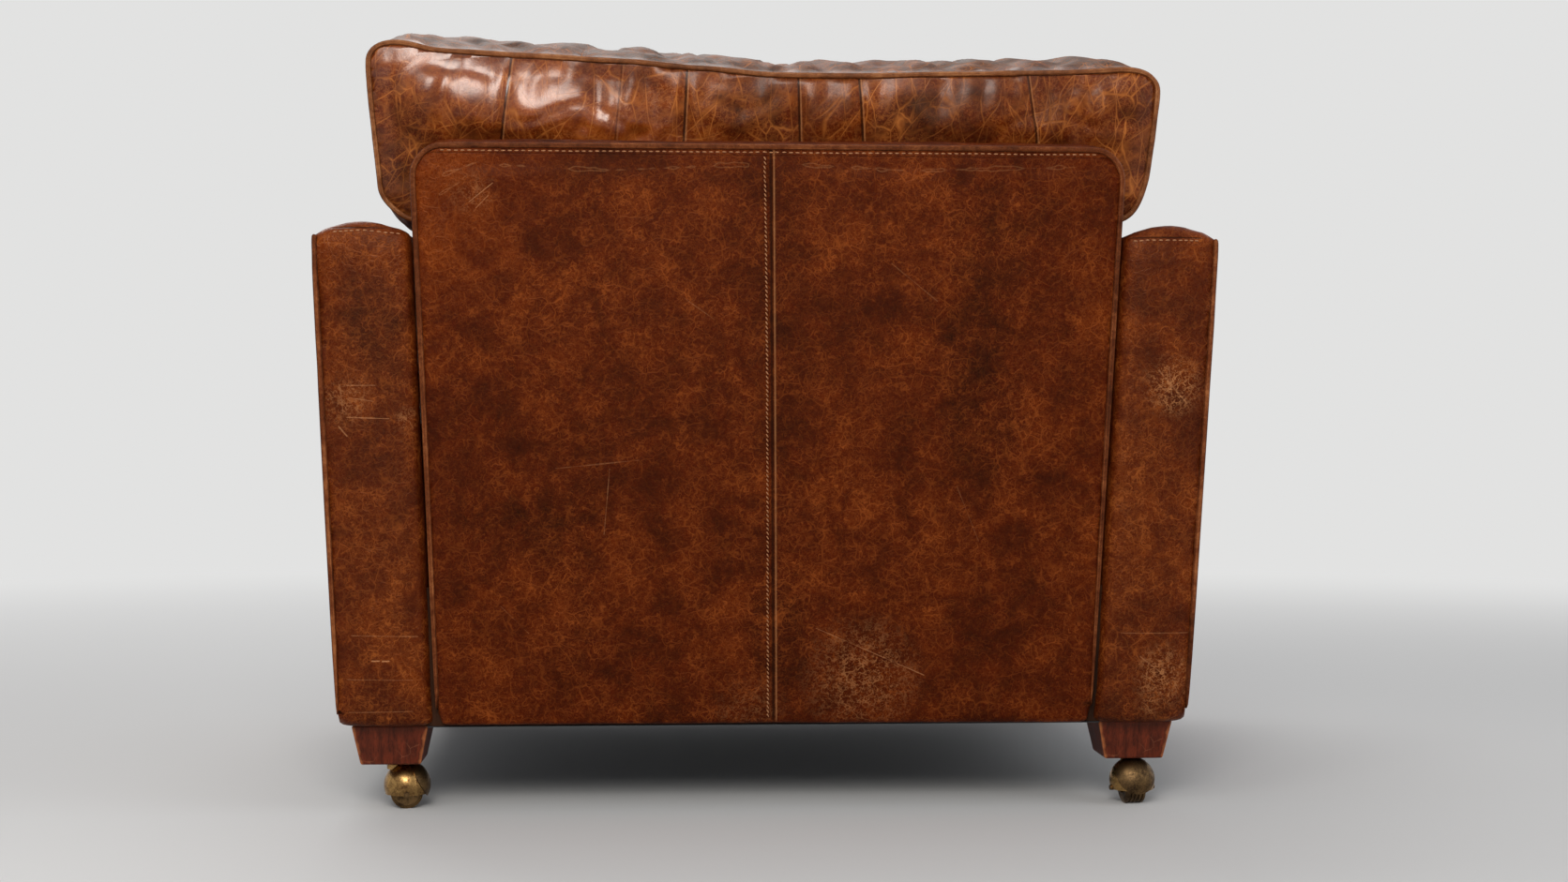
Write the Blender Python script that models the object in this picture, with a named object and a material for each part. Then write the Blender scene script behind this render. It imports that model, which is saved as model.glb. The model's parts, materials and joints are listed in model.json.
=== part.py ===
"""A worn leather club chair on ball casters.

Metres, +Z up, floor at z = 0. The sitter faces -Y, and +X is on the sitter's left hand.
The upholstered box is raked backwards and its sides lean a little outwards, so most pieces are placed
from the four lines outer_x, inner_x, rear_y and inside_y, each read at a height.
"""

import math

import bmesh
import bpy
from mathutils import Matrix, Vector

for old in list(bpy.data.objects):
    bpy.data.objects.remove(old, do_unlink=True)

# Clearance between pieces that touch
GAP = 0.0003

# Heights above the floor
CASTER_HEIGHT = 0.0525
LEG_HEIGHT = 0.044
ARM_HEIGHT = 0.645
BACK_HEIGHT = 0.735
FRAME_BOTTOM = CASTER_HEIGHT + LEG_HEIGHT + GAP

# The upholstered box at its lower edge, and how far it leans
BODY_WIDTH = 0.938
BODY_DEPTH = 0.842
FRONT_Y = -0.4548
SIDE_LEAN = math.radians(1.7)
REAR_RAKE = math.radians(8.0)

# Arms
ARM_WIDTH = 0.104
ARM_CORNER = 0.013
ARM_DOME = 0.009
ARM_WALL = 0.008
ARM_END_WALL = 0.010
ARM_TOP_PADDING = 0.045
INNER_ARM_FOOT = 0.0006

# Back
BACK_DEPTH = 0.095
INSIDE_RAKE = math.radians(12.0)
BACK_SIDE_CLEARANCE = 0.0036
BACK_WALL = 0.007
BACK_TOP_WALL = 0.020
BACK_TOP_RISE = 0.011
BACK_CORNER = 0.036

# Leather edges: the cut-back where a welt lies, and the welts
EDGE = 0.009
WELT_RADIUS = 0.0034
WELT_SLACK = 0.0005
PANEL_INSET = 0.030
PANEL_CROWN = 0.004

# Timber
RAIL_THICKNESS = 0.028
RAIL_TOP = 0.250
SIDE_RAIL_OUTWARD = 0.030
POST_WIDTH = 0.036
POST_FRONT = 0.062
BACK_RAIL_HEIGHT = 0.060
BACK_LOWER_RAIL_Z = 0.300
ARM_POST_WIDTH = 0.045
ARM_POST_DEPTH = 0.035
ARM_RAIL_THICKNESS = 0.022
CORNER_BLOCK_LEG = 0.070
CORNER_BLOCK_HEIGHT = 0.050

# Suspension
SPRING_RADIUS = 0.0019
SPRING_COUNT = 5
SPRING_SPACING = 0.120
SPRING_WAVE = 0.026
SPRING_PITCH = 0.050
WEBBING_WIDTH = 0.050
WEBBING_THICKNESS = 0.002
WEBBING_SPACING = 0.190
DECK_THICKNESS = 0.025
DUST_COVER_THICKNESS = 0.0010

# Front panel
FRONT_PANEL_THICKNESS = 0.014

# Seat cushion
SEAT_FRONT_OVERHANG = 0.019
SEAT_THICKNESS = 0.150
SEAT_CORNER = 0.030
SEAT_CROWN = 0.034
SEAT_CROWN_EASE = 0.120
SEAT_UNDER_INSET = 0.120
SEAT_FRONT_WAVE = 0.003
# How far in from the edge each step of the crown lies, and its share of the crown's height
SEAT_CROWN_STEPS = ((0.035, 0.36), (0.085, 0.74), (0.160, 0.96), (0.250, 1.0))
SEAT_FLAT_MARGIN = 0.140

# Back cushion
BACK_CUSHION_THICKNESS = 0.165
STEM_SIDE_CLEARANCE = 0.0094
EAR_INSET = 0.0490
EAR_CLEARANCE = 0.007
EAR_CORNER = 0.022
EAR_TAPER = 0.014
EAR_FOOT_RISE = 0.022
EAR_FOOT_EASE = 0.035
EAR_STEP = 0.004
# How far below the ear the welt takes to turn down the stem's side
WELT_TURN = 0.035
BACK_CUSHION_CROWN = 0.026
BACK_CUSHION_REAR_SWELL = 0.012
GATHER_DEPTH = 0.0022
BAND_SWELL = 0.007
# Height of its rear welt above the outside back, from the sitter's right ear (-1) to the left ear (1)
TOP_LINE = (
    (-1.000, 0.083),
    (-0.940, 0.088),
    (-0.725, 0.083),
    (-0.523, 0.081),
    (-0.232, 0.078),
    (-0.041, 0.078),
    (0.197, 0.085),
    (0.374, 0.091),
    (0.642, 0.096),
    (0.803, 0.100),
    (0.940, 0.110),
    (1.000, 0.107),
)
# Seams between its leather pieces, in half widths of its stem: at the welt, and below their slanted stretch
SEAM_SHARES = (
    (-0.788, -0.837), (-0.276, -0.301), (-0.093, -0.104),
    (0.241, 0.254), (0.435, 0.462), (0.763, 0.804),
)
SEAM_SLANT_HEIGHT = 0.110
SEAM_DEPTH = 0.0024
SEAM_HALF_WIDTH = 0.005

# Legs and casters
LEG_TOP_WIDTH = 0.084
LEG_FOOT_WIDTH = 0.066
LEG_SIDE_INSET = 0.013
LEG_END_INSET = 0.016
STEM_RADIUS = 0.0048
STEM_LENGTH = 0.030
COLLAR_RADIUS = 0.0135
COLLAR_HEIGHT = 0.0038
NECK_RADIUS = 0.0080
HOOD_RADIUS = 0.0255
HOOD_WALL = 0.0022
HOOD_RIM_Z = 0.0160
TRAIL = 0.0140
WHEEL_RADIUS = 0.0178
WHEEL_WIDTH = 0.0240
WHEEL_GROOVE = 0.0014
HUB_RADIUS = 0.0062
AXLE_RADIUS = 0.0030
AXLE_OVERHANG = 0.0010
# Swivel of each caster at rest, in degrees about Z: where its wheel trails from the stem
CASTER_TURN = {
    "rear_left": 186.0,
    "rear_right": 98.0,
    "front_left": 64.0,
    "front_right": 121.0,
}

FINISHES = {
    "leather": ((0.190, 0.062, 0.020), 0.36, 0.0),
    "welt_leather": ((0.260, 0.105, 0.045), 0.40, 0.0),
    "cushion_leather": ((0.225, 0.080, 0.025), 0.34, 0.0),
    "mahogany": ((0.130, 0.036, 0.016), 0.38, 0.0),
    "frame_timber": ((0.420, 0.270, 0.140), 0.70, 0.0),
    "antique_brass": ((0.450, 0.310, 0.140), 0.34, 1.0),
    "dark_tread": ((0.060, 0.050, 0.040), 0.55, 0.0),
    "spring_steel": ((0.300, 0.300, 0.310), 0.40, 1.0),
    "black_cambric": ((0.018, 0.018, 0.019), 0.90, 0.0),
    "webbing": ((0.330, 0.250, 0.150), 0.90, 0.0),
    "deck_cloth": ((0.100, 0.060, 0.035), 0.85, 0.0),
}


# Lines of the leaning box

def outer_x(z):
    """The arm's outer face."""
    return BODY_WIDTH / 2 + math.tan(SIDE_LEAN) * (z - FRAME_BOTTOM)


def inner_x(z):
    """The arm's inner face."""
    return outer_x(z) - ARM_WIDTH


def rear_y(z):
    """The raked plane of the arms' rear ends and the outside back."""
    return FRONT_Y + BODY_DEPTH + math.tan(REAR_RAKE) * (z - FRAME_BOTTOM)


def inside_y(z):
    """The raked plane that the back cushion leans on."""
    return rear_y(BACK_HEIGHT) - BACK_DEPTH - math.tan(INSIDE_RAKE) * (BACK_HEIGHT - z)


def back_half(z):
    """Half the width of the outside back, which fits between the arms and leans as they do."""
    return inner_x(z) - BACK_SIDE_CLEARANCE


def behind(distance):
    """A plane that lies this far in front of the rear plane."""
    return lambda z: rear_y(z) - distance


def beside(side, outward):
    """A line this far outward of the arm's inner face, on one side."""
    return lambda z: side * (inner_x(z) + outward)


def inside_back(side, inward):
    """A line this far inward of the outside back's side face."""
    return lambda z: side * (back_half(z) - inward)


def at(value, z):
    return value(z) if callable(value) else value


def smooth(low, high, value):
    """0 below low, 1 above high and a smooth step between them."""
    t = min(max((value - low) / (high - low), 0.0), 1.0)
    return t * t * (3.0 - 2.0 * t)


def read_line(points, x):
    """Height of a line of (x, height) points at x, eased between the points."""
    if x <= points[0][0]:
        return points[0][1]
    for (x0, h0), (x1, h1) in zip(points, points[1:]):
        if x <= x1:
            return h0 + (h1 - h0) * smooth(x0, x1, x)
    return points[-1][1]


# Makers

def dress(obj, finish):
    """Give a piece its own material in one of the finishes."""
    colour, roughness, metallic = FINISHES[finish]
    material = bpy.data.materials.new(obj.name)
    material.use_nodes = True
    shader = material.node_tree.nodes["Principled BSDF"]
    shader.inputs["Base Color"].default_value = (*colour, 1.0)
    shader.inputs["Roughness"].default_value = roughness
    shader.inputs["Metallic"].default_value = metallic
    obj.data.materials.clear()
    obj.data.materials.append(material)
    return obj


def piece(name, mesh, finish):
    obj = bpy.data.objects.new(name, mesh)
    bpy.context.scene.collection.objects.link(obj)
    return dress(obj, finish)


def finished_mesh(name, bm):
    """A closed mesh with its faces outwards, shaded smooth apart from its hard edges."""
    bmesh.ops.recalc_face_normals(bm, faces=bm.faces)
    mesh = bpy.data.meshes.new(name)
    bm.to_mesh(mesh)
    bm.free()
    mesh.shade_smooth()
    mesh.set_sharp_from_angle(angle=math.radians(40.0))
    return mesh


def loft_mesh(name, rings, end_lift=(0.0, 0.0)):
    """Skin a row of closed rings, and close each end with a fan round a centre point."""
    bm = bmesh.new()
    rows = [[bm.verts.new(point) for point in ring] for ring in rings]
    count = len(rows[0])
    for lower, upper in zip(rows, rows[1:]):
        for i in range(count):
            j = (i + 1) % count
            bm.faces.new((lower[i], lower[j], upper[j], upper[i]))
    for row, neighbour, lift in ((rows[0], rows[1], end_lift[0]), (rows[-1], rows[-2], end_lift[1])):
        centre = sum((vert.co for vert in row), Vector()) / count
        inner = sum((vert.co for vert in neighbour), Vector()) / count
        tip = bm.verts.new(centre + (centre - inner).normalized() * lift)
        for i in range(count):
            bm.faces.new((row[i], row[(i + 1) % count], tip))
    return finished_mesh(name, bm)


def prism(name, outline, z_range, finish):
    """A straight timber: an outline of (x, y) lines, each read at the foot and at the top."""
    bm = bmesh.new()
    rings = [
        [bm.verts.new((at(x, z), at(y, z), z)) for x, y in outline]
        for z in z_range
    ]
    bm.faces.new(rings[0])
    bm.faces.new(rings[1])
    for i in range(len(outline)):
        j = (i + 1) % len(outline)
        bm.faces.new((rings[0][i], rings[0][j], rings[1][j], rings[1][i]))
    return piece(name, finished_mesh(name, bm), finish)


def block(name, x_range, y_range, z_range, finish="frame_timber"):
    (x0, x1), (y0, y1) = x_range, y_range
    return prism(name, ((x0, y0), (x1, y0), (x1, y1), (x0, y1)), z_range, finish)


def tube(name, points, radius, finish, closed=False, resolution=1):
    """A round cord of leather or wire along a row of points."""
    curve = bpy.data.curves.new(name, "CURVE")
    curve.dimensions = "3D"
    curve.bevel_depth = radius
    curve.bevel_resolution = resolution
    curve.use_fill_caps = not closed
    spline = curve.splines.new("POLY")
    spline.points.add(len(points) - 1)
    for point, place in zip(spline.points, points):
        point.co = (*place, 1.0)
    spline.use_cyclic_u = closed
    obj = bpy.data.objects.new(name, curve)
    bpy.context.scene.collection.objects.link(obj)
    return dress(obj, finish)


def turned_mesh(name, profile, segments=20):
    """Spin a profile of (radius, height) points about Z. A closed profile repeats its first point."""
    bm = bmesh.new()
    verts = [bm.verts.new((radius, 0.0, height)) for radius, height in profile]
    edges = [bm.edges.new(pair) for pair in zip(verts, verts[1:])]
    bmesh.ops.spin(
        bm, geom=verts + edges, cent=(0, 0, 0), axis=(0, 0, 1), angle=math.tau, steps=segments
    )
    bmesh.ops.remove_doubles(bm, verts=bm.verts, dist=0.00001)
    return finished_mesh(name, bm)


def cut(target, cutter, operation="DIFFERENCE"):
    """Shape a piece with a guide, which stays hidden."""
    cutter.hide_render = True
    cutter.display_type = "WIRE"
    modifier = target.modifiers.new(cutter.name, "BOOLEAN")
    modifier.operation = operation
    modifier.solver = "EXACT"
    modifier.object = cutter


def hollow(name, section, ends):
    """A guide with the outline of a hollow, as (x, z) corners, that runs between two ends in y."""
    bm = bmesh.new()
    rows = [[bm.verts.new((at(x, z), at(y, z), z)) for x, z in section] for y in ends]
    bm.faces.new(rows[0])
    bm.faces.new(rows[1])
    for i in range(len(section)):
        j = (i + 1) % len(section)
        bm.faces.new((rows[0][i], rows[0][j], rows[1][j], rows[1][i]))
    return piece(name, finished_mesh(name, bm), "frame_timber")


def worked_mesh(obj):
    """The mesh that a piece's modifiers make, with the guides and the piece removed."""
    graph = bpy.context.evaluated_depsgraph_get()
    mesh = bpy.data.meshes.new_from_object(obj.evaluated_get(graph))
    guides = [modifier.object for modifier in obj.modifiers if modifier.type == "BOOLEAN"]
    for used in [obj, *guides]:
        bpy.data.objects.remove(used, do_unlink=True)
    return mesh


SIDES = (("left", 1.0), ("right", -1.0))

# How far a welt's centre lies in from the sharp corner that its edge is cut back from, and how far the
# welt then stands proud of the leather on both sides of it
WELT_INSET = (EDGE / math.sqrt(2) - WELT_RADIUS - WELT_SLACK) / math.sqrt(2)
WELT_PROUD = WELT_RADIUS - WELT_INSET

# Timber of the back: posts, rails and webbing

BACK_TIMBER_REAR = ARM_END_WALL + GAP
POST_INWARD = BACK_WALL + GAP
POST_TOP = BACK_HEIGHT - BACK_TOP_RISE - BACK_TOP_WALL - GAP
POST_SHOULDER = BACK_CORNER * 0.35


def back_frame():
    for name, side in SIDES:
        block(
            f"back_post_{name}",
            (inside_back(side, POST_INWARD), inside_back(side, POST_INWARD + POST_WIDTH)),
            (behind(POST_FRONT), behind(BACK_TIMBER_REAR)),
            (FRAME_BOTTOM, POST_TOP - POST_SHOULDER),
        )
    reach = POST_INWARD + POST_WIDTH + GAP
    between_posts = (inside_back(-1.0, reach), inside_back(1.0, reach))
    rail_depth = (behind(POST_FRONT), behind(POST_FRONT - RAIL_THICKNESS))
    rails = (
        ("back_top_rail", POST_TOP - BACK_RAIL_HEIGHT, POST_TOP),
        ("back_lower_rail", BACK_LOWER_RAIL_Z, BACK_LOWER_RAIL_Z + BACK_RAIL_HEIGHT),
    )
    for name, low, high in rails:
        block(name, between_posts, rail_depth, (low, high))
    webbing_depth = (
        behind(POST_FRONT + GAP + WEBBING_THICKNESS),
        behind(POST_FRONT + GAP),
    )
    for number in range(3):
        centre = (number - 1) * WEBBING_SPACING
        block(
            f"back_webbing_{number + 1}",
            (centre - WEBBING_WIDTH / 2, centre + WEBBING_WIDTH / 2),
            webbing_depth,
            (BACK_LOWER_RAIL_Z, POST_TOP),
            "webbing",
        )


# Timber of the seat

SIDE_RAIL_INNER = -(BACK_SIDE_CLEARANCE + BACK_WALL)
FRONT_RAIL_Y = (FRONT_Y + FRONT_PANEL_THICKNESS + GAP, FRONT_Y + FRONT_PANEL_THICKNESS + GAP + RAIL_THICKNESS)
REAR_RAIL_Y = (behind(BACK_TIMBER_REAR + RAIL_THICKNESS), behind(BACK_TIMBER_REAR))


def seat_frame():
    for name, side in SIDES:
        block(
            f"seat_rail_{name}",
            (beside(side, SIDE_RAIL_INNER), beside(side, SIDE_RAIL_OUTWARD)),
            (FRONT_RAIL_Y[0], behind(BACK_TIMBER_REAR)),
            (FRAME_BOTTOM, RAIL_TOP),
        )
    block(
        "seat_rail_front",
        (beside(-1.0, SIDE_RAIL_INNER - GAP), beside(1.0, SIDE_RAIL_INNER - GAP)),
        FRONT_RAIL_Y,
        (FRAME_BOTTOM, RAIL_TOP),
    )
    reach = POST_INWARD + POST_WIDTH + GAP
    block(
        "seat_rail_rear",
        (inside_back(-1.0, reach), inside_back(1.0, reach)),
        REAR_RAIL_Y,
        (FRAME_BOTTOM, RAIL_TOP),
    )
    for name, side in SIDES:
        heights = (FRAME_BOTTOM, FRAME_BOTTOM + CORNER_BLOCK_HEIGHT)
        front_x = beside(side, SIDE_RAIL_INNER - GAP)
        front_tip = beside(side, SIDE_RAIL_INNER - GAP - CORNER_BLOCK_LEG)
        front_y = FRONT_RAIL_Y[1] + GAP
        prism(
            f"corner_block_front_{name}",
            ((front_x, front_y), (front_tip, front_y), (front_x, front_y + CORNER_BLOCK_LEG)),
            heights,
            "frame_timber",
        )
        rear_x = inside_back(side, reach)
        rear_tip = inside_back(side, reach + CORNER_BLOCK_LEG)
        rear_line = BACK_TIMBER_REAR + RAIL_THICKNESS + GAP
        prism(
            f"corner_block_rear_{name}",
            (
                (rear_x, behind(rear_line)),
                (rear_tip, behind(rear_line)),
                (rear_x, behind(rear_line + CORNER_BLOCK_LEG)),
            ),
            heights,
            "frame_timber",
        )


# Timber of the arms

ARM_POST_INNER = SIDE_RAIL_OUTWARD + GAP
ARM_CAVITY_TOP = ARM_HEIGHT - ARM_TOP_PADDING
ARM_RAIL_TOP = ARM_CAVITY_TOP - GAP
ARM_RAIL_FOOT = ARM_RAIL_TOP - ARM_RAIL_THICKNESS


def arm_frame():
    for name, side in SIDES:
        width = (beside(side, ARM_POST_INNER), beside(side, ARM_POST_INNER + ARM_POST_WIDTH))
        heights = (FRAME_BOTTOM, ARM_RAIL_FOOT - GAP)
        front = FRONT_Y + ARM_END_WALL + GAP
        block(f"arm_post_front_{name}", width, (front, front + ARM_POST_DEPTH), heights)
        rear = BACK_TIMBER_REAR
        block(f"arm_post_rear_{name}", width, (behind(rear + ARM_POST_DEPTH), behind(rear)), heights)
        block(
            f"arm_rail_{name}",
            (beside(side, ARM_WALL + GAP), beside(side, ARM_WIDTH - ARM_WALL - GAP)),
            (front, behind(rear)),
            (ARM_RAIL_FOOT, ARM_RAIL_TOP),
        )


# Springs, deck and the cloth under the seat

SPRING_Z = RAIL_TOP + GAP + SPRING_RADIUS
DECK_BOTTOM = SPRING_Z + SPRING_RADIUS + GAP
DECK_TOP = DECK_BOTTOM + DECK_THICKNESS


def sinuous_spring(name, x):
    """Wire that winds from side to side on its way from the front rail to the rear rail."""
    front = FRONT_RAIL_Y[0] + RAIL_THICKNESS / 2
    rear = rear_y(RAIL_TOP) - BACK_TIMBER_REAR - RAIL_THICKNESS / 2
    bends = max(2, round((rear - front) / SPRING_PITCH))
    pitch = (rear - front) / bends
    points = []
    for bend in range(bends + 1):
        side = 1.0 if bend % 2 else -1.0
        y = front + bend * pitch
        for across, along in ((-0.5, 0.0), (0.5, 0.0)):
            points.append((x - side * across * SPRING_WAVE, y + along * pitch, SPRING_Z))
    tube(name, points, SPRING_RADIUS, "spring_steel", resolution=0)


def suspension():
    for number in range(SPRING_COUNT):
        sinuous_spring(f"seat_spring_{number + 1}", (number - (SPRING_COUNT - 1) / 2) * SPRING_SPACING)
    block(
        "seat_deck",
        (beside(-1.0, -GAP), beside(1.0, -GAP)),
        (FRONT_Y + FRONT_PANEL_THICKNESS + GAP, lambda z: inside_y(z) - GAP),
        (DECK_BOTTOM, DECK_TOP),
        "deck_cloth",
    )


def leg_place(corner):
    """Centre of a leg under one corner of the box."""
    end, name = corner.split("_")
    side = dict(SIDES)[name]
    x = side * (outer_x(FRAME_BOTTOM) - LEG_SIDE_INSET - LEG_TOP_WIDTH / 2)
    if end == "front":
        return x, FRONT_Y + LEG_END_INSET + LEG_TOP_WIDTH / 2
    return x, rear_y(FRAME_BOTTOM) - LEG_END_INSET - LEG_TOP_WIDTH / 2


def dust_cover():
    """Thin cloth tacked under the rails, notched round the four legs."""
    leg_x, rear_leg_y = leg_place("rear_left")
    front_leg_y = leg_place("front_left")[1]
    clear = LEG_TOP_WIDTH / 2 + GAP
    edge_x = outer_x(FRAME_BOTTOM) - ARM_WALL - EDGE
    front = FRONT_Y + EDGE
    rear = rear_y(FRAME_BOTTOM) - EDGE
    quarter = (
        (edge_x, rear_leg_y - clear),
        (leg_x - clear, rear_leg_y - clear),
        (leg_x - clear, rear),
    )
    outline = list(quarter)
    outline += [(-x, y) for x, y in reversed(quarter)]
    front_quarter = (
        (-edge_x, front_leg_y + clear),
        (-(leg_x - clear), front_leg_y + clear),
        (-(leg_x - clear), front),
    )
    outline += list(front_quarter)
    outline += [(-x, y) for x, y in reversed(front_quarter)]
    top = FRAME_BOTTOM - GAP
    prism("dust_cover", outline, (top - DUST_COVER_THICKNESS, top), "black_cambric")


# Leather of the arms

# Points of an arm's outline that lie on its outer side, from the top corner's middle to the foot
ARM_OUTER_POINTS = 8


def arm_outline(inset):
    """The arm seen from its end, as (outward, z) points from the inner foot over the dome to the outer
    foot, drawn in by inset on its sides and top."""
    low, high = FRAME_BOTTOM, ARM_HEIGHT - ARM_DOME
    points = []
    for step in range(6):
        points.append((0.0, low + (high - ARM_CORNER - low) * step / 6))
    for step in range(4):
        angle = math.pi - step * math.pi / 6
        points.append(
            (ARM_CORNER + ARM_CORNER * math.cos(angle), high - ARM_CORNER + ARM_CORNER * math.sin(angle))
        )
    for step in range(1, 4):
        across = step / 4
        flat = ARM_WIDTH - 2 * ARM_CORNER
        points.append((ARM_CORNER + flat * across, high + ARM_DOME * math.sin(math.pi * across)))
    for out, z in reversed(points[:10]):
        points.append((ARM_WIDTH - out, z))
    drawn = []
    for out, z in points:
        share = (z - low) / (ARM_HEIGHT - low)
        drawn.append((inset + out * (ARM_WIDTH - 2 * inset) / ARM_WIDTH, z - inset * share))
    return drawn


def arm_ring(side, inset, y):
    return [Vector((side * (inner_x(z) + out), at(y, z), z)) for out, z in arm_outline(inset)]


def arm_cover(name, side):
    """The padded leather case of one arm: domed on top, open underneath for its timber."""
    rings = [
        arm_ring(side, PANEL_INSET, FRONT_Y - PANEL_CROWN),
        arm_ring(side, EDGE, FRONT_Y),
        arm_ring(side, 0.0, FRONT_Y + EDGE),
    ]
    stations = 9
    for step in range(1, stations):
        share = step / stations
        ring = arm_ring(side, 0.0, lambda z: FRONT_Y + (rear_y(z) - FRONT_Y) * share)
        swell = PANEL_CROWN * (0.6 + 0.4 * math.cos(7.0 * share))
        for point in ring:
            height = (point.z - FRAME_BOTTOM) / (ARM_HEIGHT - FRAME_BOTTOM)
            if abs(point.x) > inner_x(point.z) + ARM_WIDTH / 2:
                point.x += side * swell * math.sin(math.pi * min(height, 1.0))
        rings.append(ring)
    rings.append(arm_ring(side, 0.0, behind(EDGE)))
    rings.append(arm_ring(side, EDGE, behind(0.0)))
    rings.append(arm_ring(side, PANEL_INSET, behind(-PANEL_CROWN)))
    cover = piece(f"arm_cover_{name}", loft_mesh(f"arm_cover_{name}", rings), "leather")

    below = FRAME_BOTTOM - 0.02
    wall_foot = RAIL_TOP + INNER_ARM_FOOT
    section = (
        (-EDGE, below),
        (ARM_WIDTH - ARM_WALL, below),
        (ARM_WIDTH - ARM_WALL, ARM_CAVITY_TOP),
        (ARM_WALL, ARM_CAVITY_TOP),
        (ARM_WALL, wall_foot),
        (-EDGE, wall_foot),
    )
    ends = (FRONT_Y + ARM_END_WALL, behind(ARM_END_WALL))
    cut(
        cover,
        hollow(f"arm_hollow_{name}", [(beside(side, out), z) for out, z in section], ends),
    )


def arm_welts(name, side):
    """Cords sewn up the rear end's outer edge, and round the front end from the deck over the dome."""
    outline = arm_outline(WELT_INSET)
    outer_edge = outline[-ARM_OUTER_POINTS:]
    rear = [(side * (inner_x(z) + out), rear_y(z) - WELT_INSET, z) for out, z in outer_edge]
    tube(f"arm_welt_rear_{name}", rear, WELT_RADIUS, "welt_leather")
    above_deck = [(WELT_INSET, DECK_TOP)]
    above_deck += [(out, z) for out, z in outline if z > DECK_TOP or out > ARM_WIDTH / 2]
    front = [(side * (inner_x(z) + out), FRONT_Y + WELT_INSET, z) for out, z in above_deck]
    tube(f"arm_welt_front_{name}", front, WELT_RADIUS, "welt_leather")


# Leather of the outside back

def back_top(x):
    """Height of the outside back's rear top edge, rounded down at its two corners."""
    flat = back_half(BACK_HEIGHT) - BACK_CORNER
    past = min(max(abs(x) - flat, 0.0), BACK_CORNER)
    return BACK_HEIGHT - BACK_TOP_RISE - BACK_CORNER + math.sqrt(BACK_CORNER**2 - past**2)


def back_face_top(x):
    """Where the rear face ends below that edge, cut back evenly round the corners."""
    radius = BACK_CORNER - EDGE
    past = min(max(abs(x) - back_half(BACK_HEIGHT) + BACK_CORNER, 0.0), radius)
    arc = BACK_HEIGHT - BACK_TOP_RISE - BACK_CORNER + math.sqrt(radius**2 - past**2)
    return min(arc, back_top(x) - EDGE)


def back_section(share):
    """One slice of the outside back, at a share of its half width from -1 to 1: up the rear face, over the
    top and down the front."""
    half = back_half(BACK_HEIGHT)
    x_top = share * half
    top = back_top(x_top)
    face_top = back_face_top(x_top)
    rows = 12
    points = []
    for row in range(rows + 1):
        z = FRAME_BOTTOM + (face_top - FRAME_BOTTOM) * row / rows
        fade = math.sin(math.pi * row / rows) * (1.0 - share**2)
        crease = 0.0016 * math.exp(-(((z - (BACK_HEIGHT - 0.045)) / 0.012) ** 2)) * (1.0 - share**4)
        points.append((z, PANEL_CROWN * fade - crease))
    for step in range(1, 4):
        over = step / 4
        points.append((top + BACK_TOP_RISE * math.sin(math.pi * over), -EDGE - (BACK_DEPTH - EDGE) * over))
    points.insert(rows + 1, (top, -EDGE))
    points.append((top, -BACK_DEPTH))
    points.append((FRAME_BOTTOM, -BACK_DEPTH))
    return [(share * back_half(z), rear_y(z) + out, z) for z, out in points]


def outside_back():
    """The leather case of the back frame: a rear panel sewn down its middle, with side and top bands,
    open at its front and underneath."""
    half = back_half(BACK_HEIGHT)
    seam = 0.005 / half
    edge_share = 1.0 - EDGE / half
    corner_shares = [1.0 - BACK_CORNER * part / half for part in (1.0, 0.62, 0.42)]
    flat_steps = 9
    positive = [seam] + [corner_shares[0] * step / flat_steps for step in range(1, flat_steps + 1)]
    positive += corner_shares[1:] + [edge_share]
    shares = [-share for share in reversed(positive)] + [0.0] + positive
    rings = []
    for share in shares:
        ring = [Vector(point) for point in back_section(share)]
        if share == 0.0:
            for point in ring[:12]:
                point.y -= 0.0022
        rings.append(ring)
    for end, ring in ((-1.0, rings[0]), (1.0, rings[-1])):
        side_ring = [Vector(point) for point in back_section(end)]
        for point in side_ring:
            point.y = min(point.y, rear_y(point.z) - EDGE)
        if end < 0:
            rings.insert(0, side_ring)
        else:
            rings.append(side_ring)
    cover = piece("outside_back_cover", loft_mesh("outside_back_cover", rings), "leather")

    reach = 0.05
    foot, shoulder = RAIL_TOP + INNER_ARM_FOOT, POST_TOP - POST_SHOULDER + GAP
    crown = POST_INWARD + POST_WIDTH
    right_half = (
        (inside_back(1.0, -reach), FRAME_BOTTOM - reach),
        (inside_back(1.0, -reach), foot),
        (inside_back(1.0, BACK_WALL), foot),
        (inside_back(1.0, BACK_WALL), shoulder),
        (inside_back(1.0, crown), shoulder),
        (inside_back(1.0, crown), POST_TOP + GAP),
    )
    section = list(right_half)
    section += [(lambda z, x=x: -x(z), z) for x, z in reversed(right_half)]
    cut(cover, hollow("back_hollow", section, (rear_y(0.0) - BACK_DEPTH - reach, behind(BACK_WALL))))


def back_welt():
    """Cord sewn round the rear panel's sides and top."""
    depth = -WELT_INSET
    half = back_half(BACK_HEIGHT) - WELT_INSET
    radius = BACK_CORNER - WELT_INSET
    crest = BACK_HEIGHT - BACK_TOP_RISE - WELT_INSET
    left = []
    for step in range(6):
        z = FRAME_BOTTOM + (crest - radius - FRAME_BOTTOM) * step / 6
        left.append((back_half(z) - WELT_INSET, z))
    for step in range(7):
        angle = step * math.pi / 12
        left.append((half - radius + radius * math.cos(angle), crest - radius + radius * math.sin(angle)))
    path = left + [(-x, z) for x, z in reversed(left)]
    tube(
        "outside_back_welt",
        [(x, rear_y(z) + depth, z) for x, z in path],
        WELT_RADIUS,
        "welt_leather",
    )


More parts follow.
